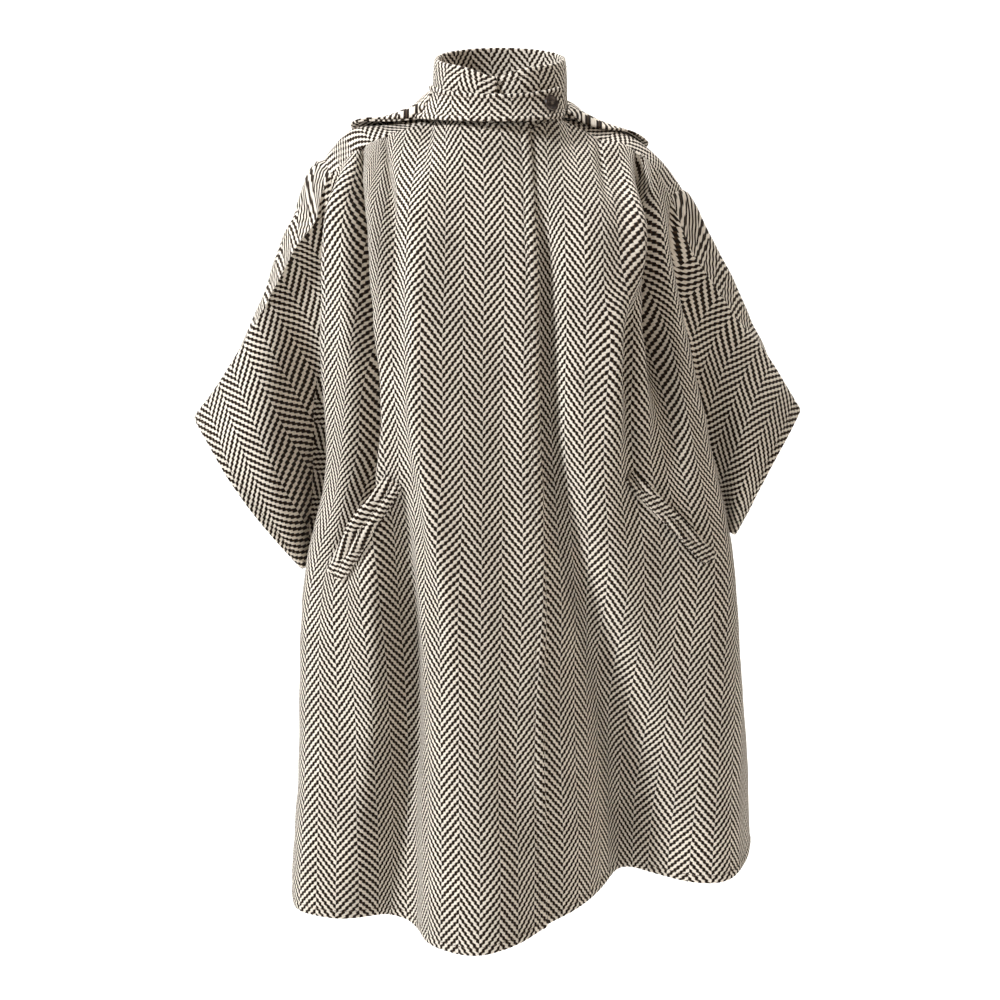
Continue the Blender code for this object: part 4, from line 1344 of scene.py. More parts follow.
    def close_edge(self, points: np.ndarray, level: np.ndarray) -> np.ndarray:
        """Shape the turned edge of the closing: puffed, grooved along its stitches and lifted at the chest.

        Args:
            points: Sheet of the right front.
            level: Level of each point.

        Returns:
            The shaped sheet.
        """
        away = -lengths(points, 1, points.shape[1] - 1)
        band = away / self.edge_band
        puff = self.edge_puff * np.sin(math.pi * np.clip(band, 0.0, 1.0))
        groove = self.edge_puff * np.exp(-((band - 1.0) / self.edge_groove) ** 2)
        chest = np.exp(-((level - self.lift_level) / self.lift_run) ** 2)
        lift = self.edge_lift * chest * np.exp(-(band / self.lift_bands) ** 2)
        normals = sheet_normals(points, (0.0, Face.FRONT, 0.0))
        return points + normals * (puff - groove + lift)[..., None]

    def back(self) -> Sheet:
        """Sheet of the back, which wraps over both shoulders to the front seams."""
        form = self.form
        shoulder = np.linspace(1.0, form.neck_share, self.shoulder_columns + 1)[:-1]
        neck = np.linspace(form.neck_share, 0.0, self.back_neck_columns + 1)
        half = np.concatenate([shoulder, neck])
        place, level = np.meshgrid(np.concatenate([-half, half[-2::-1]]), self.levels())
        points = form.points(Face.BACK, place, level)
        flat = self.hang_flat(points, form.unfolded(Face.BACK, place, level), len(half) - 1)
        return Sheet("back", points, flat, (0.0, Face.BACK, 0.0), self.cloth, Hold.HUNG,
                     ("front_right", "front_left"), ("top", "first", "last"))

    def sleeve(self, side: Side, face: Face, armhole: np.ndarray) -> Sheet:
        """Sheet of one sleeve half: from the armhole, underarm to top, out to the open hem.

        Args:
            side: Side of the wearer.
            face: Front or back half.
            armhole: Points of the armhole, from the underarm to its top.

        Returns:
            The sheet.
        """
        shares = np.linspace(0.0, 1.0, self.sleeve_rows + 1)
        stops = [np.array([side * stop.reach, -stop.forward, -stop.drop]) for stop in self.over_arm[side]]
        seam = along([armhole[-1]] + stops, shares)
        run = run_along(armhole)
        rise = (run / run[-1])[:, None]
        start = armhole[0] + np.array([side * self.sleeve_end, 0.0, -self.sleeve_end / 2])
        bow = np.array([side, 0.0, -1.0]) * self.sleeve_bow[side] * np.sin(math.pi * rise)
        swell = np.array([0.0, face, 0.0]) * self.sleeve_swell[face] * np.sin(math.pi * rise)
        hem = start + (seam[-1] - start) * rise + bow + swell
        out = shares[:, None, None]
        ruled = (1 - out) * armhole + out * hem
        curve = seam[:, None, :] - ((1 - out) * armhole[-1] + out * hem[-1])
        points = ruled + rise ** 2 * curve
        chord = unit((points[:, -1] - points[:, 0]) * (1.0, 0.0, 1.0))
        if face == Face.BACK:
            fade = (1 - rise) / (1 - self.crown_place)
            spread = np.exp(-((rise - self.crown_place) / self.crown_width) ** 2) * fade
            crown = self.sleeve_crown[side] * np.sin(math.pi * out ** self.crown_run[side]) * spread
            points = points + crown * np.array([side, 0.0, self.crown_rise])
        up = evened(lengths(points, 1, 0), self.even_sleeve_rows)
        laid = points[:, :1][..., [0, 2]] + up[..., None] * chord[:, None, [0, 2]]
        if face == Face.FRONT:
            hollow = self.sleeve_hollow[side] * np.exp(-((out - self.hollow_place) / self.hollow_width) ** 2)
            bulge = self.sleeve_bulge * np.exp(-((out - self.bulge_place) / self.bulge_width) ** 2)
            inside = np.minimum(1.0, out / self.hollow_start) * np.sqrt(np.sin(math.pi * rise))
            points = points + (hollow - bulge) * inside * np.array([0.0, 1.0, 0.0])
        name = "sleeve_" + face.name.lower() + "_" + side.name.lower()
        flat = turned(laid, -side * self.sleeve_grain[face])
        return Sheet(name, points, flat, (0.0, face, 0.0), self.cloth, Hold.HUNG,
                     ("front_" + side.name.lower(), "back"), ("top", "first", "last"))

    def finish_edges(self, sheet: Sheet) -> None:
        """Puff the turned hem, groove its stitch line and the seams, and add the cloth's unevenness."""
        band = -lengths(sheet.points, 0, sheet.points.shape[0] - 1) / self.hem_band
        lift = self.hem_puff * np.sin(math.pi * np.clip(band, 0.0, 1.0))
        lift -= self.hem_groove * np.exp(-((band - 1.0) / self.hem_groove_wide) ** 2)
        for edge, axis, start in (("top", 0, 0), ("first", 1, 0), ("last", 1, -1)):
            if edge in sheet.sewn:
                away = lengths(sheet.points, axis, start)
                lift -= self.seam_depth * np.exp(-(away / self.seam_wide) ** 2)
        lift += self.form.unevenness(sheet.points)
        sheet.points = sheet.points + sheet.normals * lift[..., None]

    def make(self, wardrobe: Wardrobe) -> list[bpy.types.Object]:
        """Make all the panels.

        Args:
            wardrobe: Materials.

        Returns:
            The finished pieces.
        """
        fronts = {side: self.front(side) for side in Side}
        back = self.back()
        made = [back]
        for side in Side:
            column = 0 if side == Side.RIGHT else -1
            made.append(fronts[side])
            made.append(self.sleeve(side, Face.FRONT, fronts[side].points[self.armhole_rows::-1, column]))
            made.append(self.sleeve(side, Face.BACK, back.points[self.armhole_rows::-1, column]))
        seam_normals(made)
        for sheet in made:
            self.finish_edges(sheet)
        self.sheets = {sheet.name: sheet for sheet in made}
        return [make_cloth(sheet, sheet.name, wardrobe.tweed) for sheet in made]

    def stitches(self, wardrobe: Wardrobe) -> bpy.types.Object:
        """Sew the closing edge, the hem and the sleeves' hems."""
        lines = []
        for sheet in self.sheets.values():
            rows = sheet.points.shape[0]
            length = -lengths(sheet.points, 0, rows - 1)
            columns = np.arange(sheet.points.shape[1], dtype=float)
            inner = [np.interp(self.hem_band, length[::-1, column], np.arange(rows - 1, -1, -1, dtype=float))
                     for column in range(sheet.points.shape[1])]
            lines.append(seam_line(sheet, np.array(inner), columns))
        front = self.sheets["front_right"]
        reach = -lengths(front.points, 1, front.points.shape[1] - 1)
        order = np.arange(front.points.shape[1] - 1, -1, -1, dtype=float)
        columns = [np.interp(self.edge_band, row[::-1], order) for row in reach]
        lines.append(seam_line(front, np.arange(front.points.shape[0], dtype=float), np.array(columns)))
        return Stitching().lay("panel_stitches", lines, wardrobe.thread)


@dataclass
class Collar:
    """Standing collar round the neck, and the throat tab that buttons across it."""

    form: WornForm
    cloth: float = 0.0030
    visible_cloth: float = 0.0050
    tab_cloth: float = 0.0024
    sink: float = 0.004
    clear: float = 0.0022
    rows: tuple[CollarRow, ...] = (
        CollarRow(0.0, 1.0, 1.0, 1.0),
        CollarRow(0.45, 1.0, 1.0, 0.99),
        CollarRow(0.80, 0.99, 0.98, 0.98),
        CollarRow(1.0, 0.97, 0.95, 0.95),
    )
    top_front: float = 0.060
    top_back: float = 0.090
    opening: float = math.radians(-4)
    overlap: float = math.radians(9)
    overlap_drop: float = 0.0058
    overlap_run: float = math.radians(30)
    dip: float = 0.010
    dip_width: float = math.radians(20)
    tab_from: float = math.radians(-74)
    tab_to: float = math.radians(57)
    tab_bottom: float = 0.0025
    tab_top: float = 0.032
    tab_bottom_rise: dict[Side, float] = per_side(0.0, 0.005)
    tab_top_rise: dict[Side, float] = per_side(0.008, 0.013)
    tab_seat: float = 0.0030
    tab_flare: float = 0.013
    tab_end_flare: float = 0.008
    tab_corner: float = math.radians(6)
    tab_end_share: float = 0.72
    tab_puff: float = 0.0020
    tab_puff_place: float = 0.44
    tab_puff_width: float = 0.05
    tab_inset: float = 3.4
    rim_row: float = 3.0
    columns: int = 180
    steps: int = 26
    tab_columns: int = 96
    tab_steps: int = 26
    collar_grain: float = -6.0
    tab_grain: float = 6.0
    sheets: dict[str, Sheet] = field(default_factory=dict)

    def ends(self, angle: np.ndarray) -> tuple[np.ndarray, np.ndarray]:
        """Heights of the collar's base and rim at an angle from the front."""
        base = self.form.neck_point(angle, Side.LEFT)[..., 2] - self.sink
        middle = (self.top_front + self.top_back) / 2
        turn = np.arctan2(np.sin(angle - self.opening), np.cos(angle - self.opening))
        dip = self.dip * np.exp(-(turn / self.dip_width) ** 2)
        return base, middle - (self.top_back - middle) * np.cos(angle) - dip

    def point(self, angle: np.ndarray, share: np.ndarray, out: np.ndarray = 0.0) -> np.ndarray:
        """Point at an angle from the front and a share of the collar's height, moved out from it."""
        knots = [row.rise for row in self.rows]
        inner = self.clear + self.cloth / 2
        wide = smooth(knots, [row.wide for row in self.rows], share) * (self.form.neck_wide - inner) + out
        front = smooth(knots, [row.front for row in self.rows], share) * (self.form.neck_front - inner) + out
        back = smooth(knots, [row.back for row in self.rows], share) * (self.form.neck_back - inner) + out
        depth = np.where(np.cos(angle) > 0, front, back)
        base, top = self.ends(angle)
        return np.stack([wide * np.sin(angle), -depth * np.cos(angle), base + (top - base) * share], axis=-1)

    def share_at(self, angle: np.ndarray, height: np.ndarray) -> np.ndarray:
        """Share of the collar's height at a height over the origin."""
        base, top = self.ends(angle)
        return (height - base) / (top - base)

    def tab_point(self, angle: np.ndarray, share: np.ndarray) -> np.ndarray:
        """Point of the throat tab: it lies on the collar, and flares at its lower edge."""
        toward_end = (angle / self.tab_from) ** 2
        right, left = Side.RIGHT, Side.LEFT
        bottom = self.tab_bottom + toward_end * np.where(
            angle < 0, self.tab_bottom_rise[right], self.tab_bottom_rise[left])
        top = self.tab_top + toward_end * np.where(
            angle < 0, self.tab_top_rise[right], self.tab_top_rise[left])
        height = self.form.neck_point(angle, Side.LEFT)[..., 2] + bottom + (top - bottom) * share
        lower = self.tab_flare * np.where(angle < 0, 1.0, 1 - toward_end)
        flare = (1 - share) ** 2 * (lower + self.tab_end_flare * np.where(angle < 0, toward_end ** 2, 0.0))
        out = self.cloth / 2 + self.tab_seat + self.tab_cloth / 2 + flare
        return self.point(angle, self.share_at(angle, height), out)

    def stand_points(self) -> np.ndarray:
        """Sheet of the collar stand, once round, with its two front ends lapped."""
        turn = np.linspace(self.opening - self.overlap, self.opening + 2 * math.pi, self.columns + 1)
        angle, share = np.meshgrid(turn, np.linspace(1.0, 0.0, self.steps + 1))
        below = ease((self.opening + self.overlap_run - angle) / self.overlap_run)
        return self.point(angle, share, -self.overlap_drop * below - (self.visible_cloth - self.cloth) / 2)

    def tab_points(self) -> np.ndarray:
        """Sheet of the throat tab, with rounded corners at its free end and puffed edges."""
        turn = np.linspace(self.tab_from, self.tab_to, self.tab_columns + 1)
        angle, share = np.meshgrid(turn, np.linspace(1.0, 0.0, self.tab_steps + 1))
        corner = np.clip((angle - self.tab_to + self.tab_corner) / self.tab_corner, 0.0, 1.0)
        shrink = self.tab_end_share + (1 - self.tab_end_share) * np.sqrt(1 - corner ** 2)
        points = self.tab_point(angle, 0.5 + (share - 0.5) * shrink)
        from_edge = (np.abs(share - 0.5) - self.tab_puff_place) / self.tab_puff_width
        puff = self.tab_puff * np.exp(-from_edge ** 2)
        return points + sheet_normals(points, (0.0, Face.FRONT, 0.0)) * puff[..., None]

    def make(self, wardrobe: Wardrobe) -> list[bpy.types.Object]:
        """Make the collar and the tab.

        Args:
            wardrobe: Materials.

        Returns:
            The finished pieces.
        """
        pieces = []
        plans = (
            ("collar_stand", self.stand_points(), Face.BACK, self.visible_cloth, self.collar_grain,
             ("front_right", "back")),
            ("throat_tab", self.tab_points(), Face.FRONT, self.tab_cloth, self.tab_grain,
             ("collar_stand",)),
        )
        for name, points, outward, cloth, grain, rests_on in plans:
            flat = np.stack([lengths(points, 1, points.shape[1] // 2), -lengths(points, 0, 0)], axis=-1)
            sheet = Sheet(name, points, turned(flat, grain), (0.0, outward, 0.0), cloth,
                          Hold.STRETCHED, rests_on)
            pieces.append(make_cloth(sheet, name, wardrobe.tweed))
            self.sheets[name] = sheet
        return pieces

    def stitches(self, wardrobe: Wardrobe) -> bpy.types.Object:
        """Sew round the tab's edges and along the collar's rim."""
        tab = self.sheets["throat_tab"]
        rows, columns = tab.points.shape[:2]
        inset = self.tab_inset
        across = np.linspace(inset, columns - 1 - inset, columns * 2)
        down = np.linspace(inset, rows - 1 - inset, rows * 2)
        collar = self.sheets["collar_stand"]
        round_columns = np.linspace(1.0, collar.points.shape[1] - 2.0, collar.points.shape[1])
        lines = [
            seam_line(tab, np.full_like(across, inset), across),
            seam_line(tab, np.full_like(across, rows - 1 - inset), across),
            seam_line(tab, down, np.full_like(down, columns - 1 - inset)),
            seam_line(collar, np.full_like(round_columns, self.rim_row), round_columns),
        ]
        return Stitching.fine().lay("collar_stitches", lines, wardrobe.thread)


@dataclass
class Hood:
    """Hood lying back round the collar: an under layer, a fold and an upper layer to the face edge."""

    form: WornForm
    collar: Collar
    cloth: float = 0.0024
    stops: tuple[float, ...] = (0.0, 0.35, 0.70, 1.0)
    fold_place: dict[Side, tuple[float, ...]] = per_side((0.0, 0.30, 0.62, 0.78), (0.0, 0.30, 0.60, 0.74))
    fold_level: tuple[float, ...] = (0.58, 0.50, 0.26, 0.08)
    edge_lift: dict[Side, tuple[float, ...]] = per_side(
        (0.026, 0.028, 0.034, 0.036), (0.026, 0.023, 0.016, 0.011))
    pouch: dict[Side, tuple[float, ...]] = per_side(
        (0.040, 0.034, 0.015, 0.003), (0.040, 0.028, 0.006, 0.0005))
    edge_run: tuple[float, ...] = (0.20, 0.20, 0.18, 0.10)
    edge_lean: float = 0.16
    edge_clear: float = 0.0012
    neck_clear: float = 0.0046
    clear: float = 0.0072
    clear_run: float = 0.07
    relax_rounds: int = 40
    row_spread: float = 1.4
    edge_row: float = 3.0
    columns: int = 150
    down_rows: int = 46
    sheet: Optional[Sheet] = None

    def relax(self, points: np.ndarray) -> np.ndarray:
        """Sheet evened out by drawing each inner point half way to the mean of its neighbours."""
        eased = points.copy()
        for _ in range(self.relax_rounds):
            around = eased[:-2, 1:-1] + eased[2:, 1:-1] + eased[1:-1, :-2] + eased[1:-1, 2:]
            eased[1:-1, 1:-1] = (eased[1:-1, 1:-1] + around / 4) / 2
        return eased

    def make(self, wardrobe: Wardrobe) -> bpy.types.Object:
        """Make the hood.

        Args:
            wardrobe: Materials.

        Returns:
            The finished piece.
        """
        form = self.form
        spread = np.linspace(-1.0, 1.0, self.columns + 1)[None, :]
        down = (np.linspace(0.0, 1.0, self.down_rows + 1) ** self.row_spread)[:, None]
        stop = np.abs(spread)
        start = form.neck_share * stop
        ends = [smooth(self.stops, self.fold_place[side], stop) for side in Side]
        end = np.where(spread < 0, ends[0], ends[1])
        place = np.sign(spread) * (start + (end - start) * down)
        level = down * smooth(self.stops, self.fold_level, stop)
        under = form.points(Face.BACK, place, level)
        normals = sheet_normals(under, (0.0, Face.BACK, 1.0))
        near_neck = np.exp(-(down / smooth(self.stops, self.edge_run, stop)) ** 2)
        pouches = [smooth(self.stops, self.pouch[side], stop) for side in Side]
        pouch = np.where(spread < 0, pouches[0], pouches[1]) * (1 - near_neck) * np.sqrt(1 - down ** 4)
        clear = self.clear + (self.neck_clear - self.clear) * np.exp(-(down / self.clear_run) ** 2)
        radial = unit(under * (1.0, 1.0, 0.0))
        upward = unit(radial * self.edge_lean + (0.0, 0.0, 1.0))
        low = under + (normals + (upward - normals) * near_neck[..., None]) * clear[..., None]
        angle = np.where(spread < 0, -1, 1) * (math.pi - (math.pi - form.neck_seam) * stop)
        lift = [smooth(self.stops, self.edge_lift[side], stop) for side in Side]
        height = form.neck_point(angle, Side.LEFT)[..., 2] + np.where(spread < 0, lift[0], lift[1])
        out = (self.collar.cloth + self.cloth) / 2 + self.edge_clear
        rim = self.collar.point(angle, self.collar.share_at(angle, height), out)
        high = self.relax(low + normals * pouch[..., None] + (rim - low[:1]) * near_neck[..., None])
        points = np.concatenate([low, high[-2::-1]])
        cut = np.stack([lengths(points, 1, self.columns // 2), lengths(points, 0, 0)], axis=-1)
        flat = np.stack([points[..., 0], points[..., 2] - points[..., 1]], axis=-1)
        self.sheet = Sheet("hood", points, flat, (0.0, 0.0, -1.0), self.cloth, Hold.FOLDED,
                           ("back", "collar_stand"), cut=cut)
        return make_cloth(self.sheet, "hood", wardrobe.tweed)

    def stitches(self, wardrobe: Wardrobe) -> bpy.types.Object:
        """Sew along the hood's face edge."""
        sheet = self.sheet
        columns = np.arange(sheet.points.shape[1], dtype=float)
        line = seam_line(sheet, np.full_like(columns, sheet.points.shape[0] - self.edge_row), columns)
        return Stitching().lay("hood_stitches", [line], wardrobe.thread)


@dataclass
class PocketWelt:
    """Slanted pocket welt sewn on one front, gaping along its outer edge."""

    form: WornForm
    side: Side
    upper_place: float
    upper_level: float
    lower_place: float
    lower_level: float
    wide: float
    gape: float
    gap: float
    cloth: float = 0.0022
    panel_cloth: float = 0.0024
    puff: float = 0.0022
    end_fullness: float = 0.4
    stitch_inset: float = 1.5
    stitch_end: float = 1.0
    columns: int = 64
    steps: int = 22
    sheet: Optional[Sheet] = None

    def make(self, wardrobe: Wardrobe) -> bpy.types.Object:
        """Make the welt.

        Args:
            wardrobe: Materials.

        Returns:
            The finished piece.
        """
        form = self.form
        slope = np.array([(self.lower_place - self.upper_place) * form.place_length,
                          (self.lower_level - self.upper_level) * form.level_length])
        aside = self.wide * np.array([-slope[1], slope[0]]) / np.hypot(*slope) * -self.side
        share = np.linspace(0.0, 1.0, self.columns + 1)[None, :]
        out = np.linspace(0.5, -0.5, self.steps + 1)[:, None]
        place = self.upper_place + (self.lower_place - self.upper_place) * share
        place = place + out * aside[0] / form.place_length
        level = self.upper_level + (self.lower_level - self.upper_level) * share
        level = level + out * aside[1] / form.level_length
        points = form.points(Face.FRONT, place, level)
        straight = points[:, :1] + (points[:, -1:] - points[:, :1]) * share[..., None]
        straight[..., 1] = -taut(-points[..., 1])
        points = straight
        normals = sheet_normals(points, (0.0, Face.FRONT, 0.0))
        gape = self.gape * np.sin(math.pi * share) ** 2 * (out + 0.5)
        full = np.sin(math.pi * share) ** self.end_fullness
        bands = self.puff * np.sin(2 * math.pi * (out + 0.5)) ** 2 * full
        lift = self.panel_cloth / 2 + self.gap + self.cloth / 2 + gape + bands + form.unevenness(points)
        points = points + normals * lift[..., None]
        down = unit(slope * (1.0, -1.0))
        beside = np.array([down[1], -down[0]]) * self.side
        length = lengths(points, 1, 0)[:, -1].mean()
        flat = (share * length)[..., None] * down - ((0.5 - out) * self.wide)[..., None] * beside
        name = "pocket_welt_" + self.side.name.lower()
        self.sheet = Sheet(name, points, flat, (0.0, Face.FRONT, 0.0), self.cloth, Hold.LAID,
                           ("front_" + self.side.name.lower(),))
        return make_cloth(self.sheet, name, wardrobe.tweed)

    def lines(self) -> list[SeamLine]:
        """Lines of the welt's two rows of stitches and of the ends that hold it down."""
        sheet = self.sheet
        rows, columns = sheet.points.shape[:2]
        inset = self.stitch_inset
        across = np.linspace(self.stitch_end, columns - 1 - self.stitch_end, columns * 2)
        down = np.linspace(inset, rows - 1 - inset, rows * 2)
        return [
            seam_line(sheet, np.full_like(across, (rows - 1) / 2), across),
            seam_line(sheet, np.full_like(across, rows - 1 - inset), across),
            seam_line(sheet, down, np.full_like(down, inset)),
            seam_line(sheet, down, np.full_like(down, columns - 1 - inset)),
        ]


@dataclass
class TabButton:
    """Four-hole button on the throat tab, sewn on with a cross of thread."""

    collar: Collar
    radius: float = 0.0095
    dish: float = 0.0062
    thick: float = 0.0030
    rim: float = 0.0006
    hole: float = 0.0010
    hole_pitch: float = 0.0019
    hole_reach: float = 0.009
    hole_steps: int = 20
    angle: float = math.radians(42)
    share: float = 0.52
    probe: float = 0.01
    seat: float = 0.0005
    steps: int = 72
    sharp: float = math.radians(40)
    thread: float = 0.00035
    strands: int = 3
    strand_pitch: float = 1.6
    strand_steps: int = 12
    strand_sides: int = 6
    strand_rise: float = 1.2
    strand_dip: float = 2.2
    strand_over: float = 0.6
    dip_power: int = 6

    def on_tab(self, angle: float, share: float) -> np.ndarray:
        """Point of the tab at an angle from the front and a share of its height."""
        return self.collar.tab_point(np.array(angle), np.array(share))

    def place(self) -> Matrix:
        """Place and turn of the button on the tab."""
        middle = self.on_tab(self.angle, self.share)
        around = Vector(self.on_tab(self.angle + self.probe, self.share) - middle)
        upward = Vector(self.on_tab(self.angle, self.share + self.probe) - middle)
        facing = around.cross(upward).normalized()
        seat = Vector(middle) + facing * (self.collar.tab_cloth / 2 + self.seat)
        return Matrix.Translation(seat) @ facing.to_track_quat("Z", "Y").to_matrix().to_4x4()

    def make(self, wardrobe: Wardrobe) -> list[bpy.types.Object]:
        """Make the button and its thread.

        Args:
            wardrobe: Materials.

        Returns:
            The finished pieces.
        """
        rim = self.rim
        # Half of the button's section, from the middle of its dished face round the rim to its back.
        profile = (
            (0.0, self.thick - rim),
            (self.dish * 0.8, self.thick - rim),
            (self.dish, self.thick - rim * 0.85),
            (self.dish + rim * 0.7, self.thick - rim * 0.2),
            (self.dish + rim * 1.6, self.thick),
            (self.radius - rim * 1.5, self.thick),
            (self.radius - rim * 0.5, self.thick - rim * 0.25),
            (self.radius, self.thick - rim),
            (self.radius, rim),
            (self.radius - rim * 0.5, rim * 0.25),
            (self.radius - rim * 1.5, 0.0),
            (0.0, 0.0),
        )
        shape = bmesh.new()
        corners = [shape.verts.new((reach, 0.0, rise)) for reach, rise in profile]
        edges = [shape.edges.new(pair) for pair in zip(corners, corners[1:])]
        bmesh.ops.spin(shape, geom=corners + edges, axis=(0.0, 0.0, 1.0), cent=(0.0, 0.0, 0.0),
                       angle=2 * math.pi, steps=self.steps)
        bmesh.ops.remove_doubles(shape, verts=shape.verts, dist=WELD)
        bmesh.ops.recalc_face_normals(shape, faces=shape.faces)
        mesh = bpy.data.meshes.new("tab_button_blank")
        shape.to_mesh(mesh)
        shape.free()
        blank = link_object("tab_button_blank", mesh)
        drills = []
        for across in (-self.hole_pitch, self.hole_pitch):
            for up in (-self.hole_pitch, self.hole_pitch):
                shape = bmesh.new()
                bmesh.ops.create_cone(shape, cap_ends=True, segments=self.hole_steps, depth=self.hole_reach,
                                      radius1=self.hole, radius2=self.hole,
                                      matrix=Matrix.Translation((across, up, 0.0)))
                drill_mesh = bpy.data.meshes.new("drill")
                shape.to_mesh(drill_mesh)
                shape.free()
                drill = link_object("drill", drill_mesh)
                cut = blank.modifiers.new("hole", "BOOLEAN")
                cut.operation = "DIFFERENCE"
                cut.solver = "EXACT"
                cut.object = drill
                drills.append(drill)
        graph = bpy.context.evaluated_depsgraph_get()
        made = bpy.data.meshes.new_from_object(blank.evaluated_get(graph))
        for old in [blank] + drills:
            bpy.data.objects.remove(old)
        made.name = "tab_button"
        made.transform(self.place())
        made.shade_smooth()
        made.set_sharp_from_angle(angle=self.sharp)
        made.materials.clear()
        made.materials.append(wardrobe.horn)
        button = dress(link_object("tab_button", made), ("tab_button",))
        return [button, self.cross(wardrobe)]

    def cross(self, wardrobe: Wardrobe) -> bpy.types.Object:
        """Make the cross of thread through the four holes."""
        shape = bmesh.new()
        face = self.thick - self.rim
        for turn in (1, -1):
            over = (turn + 1) * self.thread * self.strand_over
            normal = Vector((-turn, 1.0, 0.0)).normalized()
            for strand in range(self.strands):
                aside = (strand - (self.strands - 1) / 2) * self.thread * self.strand_pitch
                rings = []
                for step in range(self.strand_steps + 1):
                    share = step / self.strand_steps * 2 - 1
                    arch = self.strand_rise - self.strand_dip * share ** self.dip_power
                    rise = face + self.thread * arch + over
                    middle = Vector((share * self.hole_pitch, share * self.hole_pitch * turn, rise))
                    corner = []
                    for side in range(self.strand_sides):
                        angle = side / self.strand_sides * 2 * math.pi
                        offset = normal * (math.cos(angle) * self.thread + aside)
                        offset.z += math.sin(angle) * self.thread
                        corner.append(shape.verts.new(middle + offset))
                    rings.append(corner)
                for first, second in zip(rings, rings[1:]):
                    for side in range(self.strand_sides):
                        follow = (side + 1) % self.strand_sides
                        shape.faces.new((first[side], first[follow], second[follow], second[side]))
                shape.faces.new(rings[0])
                shape.faces.new(rings[-1])
        bmesh.ops.recalc_face_normals(shape, faces=shape.faces)
        mesh = bpy.data.meshes.new("button_thread")
        shape.to_mesh(mesh)
        shape.free()
        mesh.transform(self.place())
        mesh.shade_smooth()
        mesh.materials.append(wardrobe.thread)
        return dress(link_object("button_thread", mesh))


@dataclass(frozen=True)
class Lamp:
    """Square light: its place, what it points at, its size, power and colour."""

    name: str
    place: tuple[float, float, float]
    aim: tuple[float, float, float]
    size: float
    power: float
    colour: str


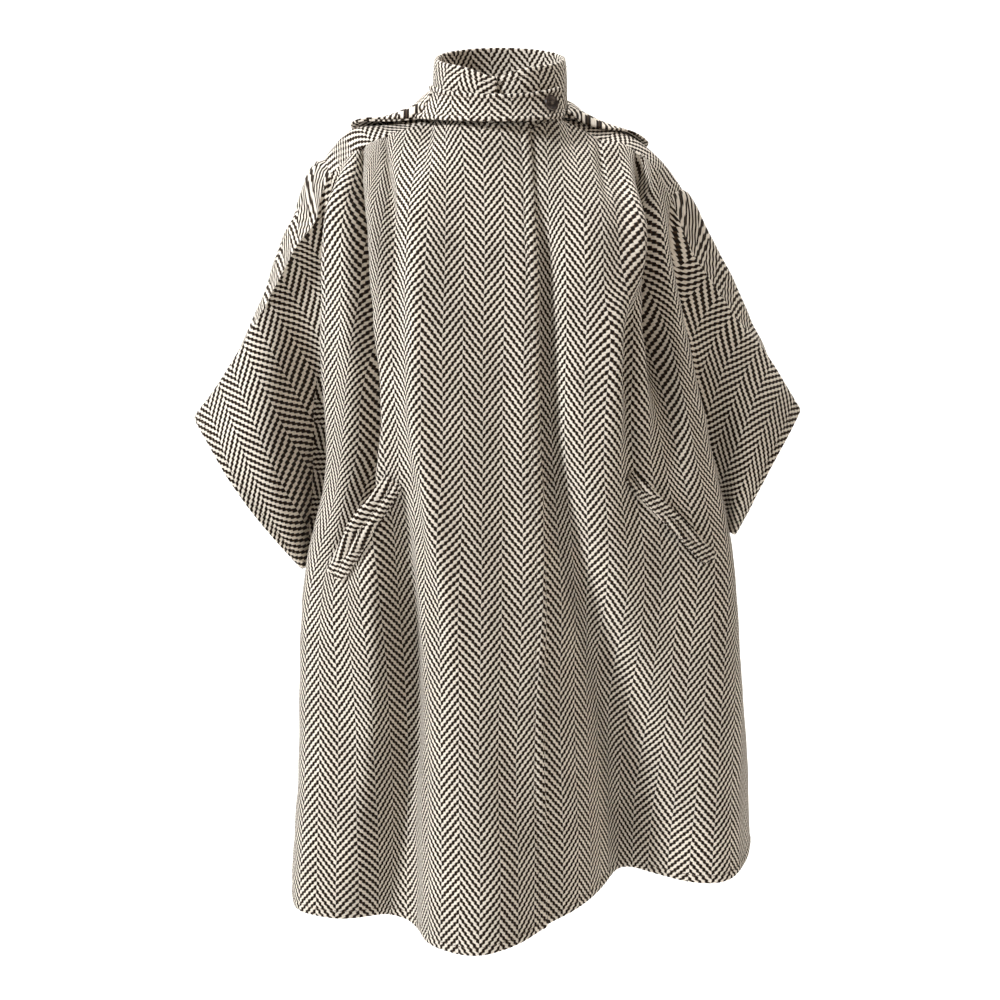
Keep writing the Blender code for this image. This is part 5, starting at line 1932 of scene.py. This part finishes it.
@dataclass
class Studio:
    """Pale floor and backdrop, soft lights and the camera at the photograph's angle."""

    floor_rise: float = -1.42
    wall_away: float = 3.0
    bend: float = 1.2
    half_width: float = 9.0
    front_reach: float = 7.0
    wall_top: float = 6.0
    bend_steps: int = 24
    floor_colour: str = "#fbfaf8"
    floor_roughness: float = 0.9
    sky_strength: float = 0.03
    camera_away: float = 2.4
    camera_rise: float = -0.05
    pitch: float = math.radians(9.55)
    focal_pixels: float = 1983.0
    picture_pixels: float = 1000.0
    sensor_mm: float = 36.0
    lamps: tuple[Lamp, ...] = (
        Lamp("key_light", (-2.9, -1.8, 1.7), (0.0, 0.0, -0.45), 0.6, 176.0, "#f3f4f7"),
        Lamp("front_light", (0.3, -3.4, 1.0), (0.0, 0.0, -0.45), 0.6, 15.0, "#ffeedc"),
        Lamp("fill_light", (3.2, -1.0, 0.5), (0.0, 0.0, -0.35), 0.8, 19.0, "#ffeedc"),
        Lamp("backdrop_light", (0.0, 1.3, 2.8), (0.0, 2.6, -0.9), 3.0, 190.0, WHITE),
    )

    def make(self) -> None:
        """Make the backdrop, lights, world and camera."""
        self.make_backdrop()
        self.make_lights()
        self.make_camera()

    def make_backdrop(self) -> None:
        """Make the floor, which bends up into the backdrop."""
        profile = [(-self.front_reach, self.floor_rise)]
        for step in range(self.bend_steps + 1):
            angle = step / self.bend_steps * math.pi / 2
            profile.append((self.wall_away - self.bend + self.bend * math.sin(angle),
                            self.floor_rise + self.bend - self.bend * math.cos(angle)))
        profile.append((self.wall_away, self.wall_top))
        vertices = [(side * self.half_width, away, rise) for away, rise in profile for side in (-1, 1)]
        faces = [(2 * at, 2 * at + 1, 2 * at + 3, 2 * at + 2) for at in range(len(profile) - 1)]
        mesh = bpy.data.meshes.new("backdrop")
        mesh.from_pydata(vertices, [], faces)
        mesh.shade_smooth()
        paper, _, shader = new_material("backdrop_paper")
        shader.inputs["Base Color"].default_value = linear_colour(self.floor_colour)
        shader.inputs["Roughness"].default_value = self.floor_roughness
        mesh.materials.append(paper)
        link_object("backdrop", mesh)

    def make_lights(self) -> None:
        """Make the lamps and the faint light from all round."""
        for plan in self.lamps:
            light = bpy.data.lights.new(plan.name, "AREA")
            light.size = plan.size
            light.energy = plan.power
            light.color = linear_colour(plan.colour)[:3]
            lamp = link_object(plan.name, light)
            lamp.location = plan.place
            toward = Vector(plan.aim) - Vector(plan.place)
            lamp.rotation_euler = toward.to_track_quat("-Z", "Y").to_euler()
        world = bpy.data.worlds.new("studio")
        world.use_nodes = True
        sky = world.node_tree.nodes["Background"]
        sky.inputs["Color"].default_value = linear_colour(WHITE)
        sky.inputs["Strength"].default_value = self.sky_strength
        bpy.context.scene.world = world
        bpy.context.scene.view_settings.view_transform = "Standard"

    def make_camera(self) -> None:
        """Make the camera, at the photograph's height, distance and angle."""
        lens = bpy.data.cameras.new("camera")
        lens.sensor_width = self.sensor_mm
        lens.lens = self.focal_pixels / self.picture_pixels * self.sensor_mm
        camera = link_object("camera", lens)
        camera.location = (0.0, -self.camera_away, self.camera_rise)
        camera.rotation_euler = (math.pi / 2 - self.pitch, 0.0, 0.0)
        bpy.context.scene.camera = camera


def main() -> None:
    """Build the cape's pieces in order, then the studio round it."""
    logging.basicConfig(level=logging.INFO)
    wardrobe = Wardrobe(TweedFinish().material(), ThreadFinish().material(), HornFinish().material())
    form = WornForm()
    Studio().make()
    panels = Panels(form)
    panels.make(wardrobe)
    panels.stitches(wardrobe)
    collar = Collar(form)
    collar.make(wardrobe)
    collar.stitches(wardrobe)
    TabButton(collar).make(wardrobe)
    hood = Hood(form, collar)
    hood.make(wardrobe)
    hood.stitches(wardrobe)
    welts = (
        PocketWelt(form, Side.RIGHT, upper_place=-0.432, upper_level=0.785, lower_place=-0.638,
                   lower_level=1.003, wide=0.028, gape=0.014, gap=0.0022, puff=0.0034),
        PocketWelt(form, Side.LEFT, upper_place=0.492, upper_level=0.800, lower_place=0.722,
                   lower_level=1.030, wide=0.020, gape=0.001, gap=0.0008, puff=0.0011),
    )
    for welt in welts:
        welt.make(wardrobe)
    lines = [line for welt in welts for line in welt.lines()]
    Stitching.fine().lay("welt_stitches", lines, wardrobe.thread)


if __name__ == "__main__":
    main()
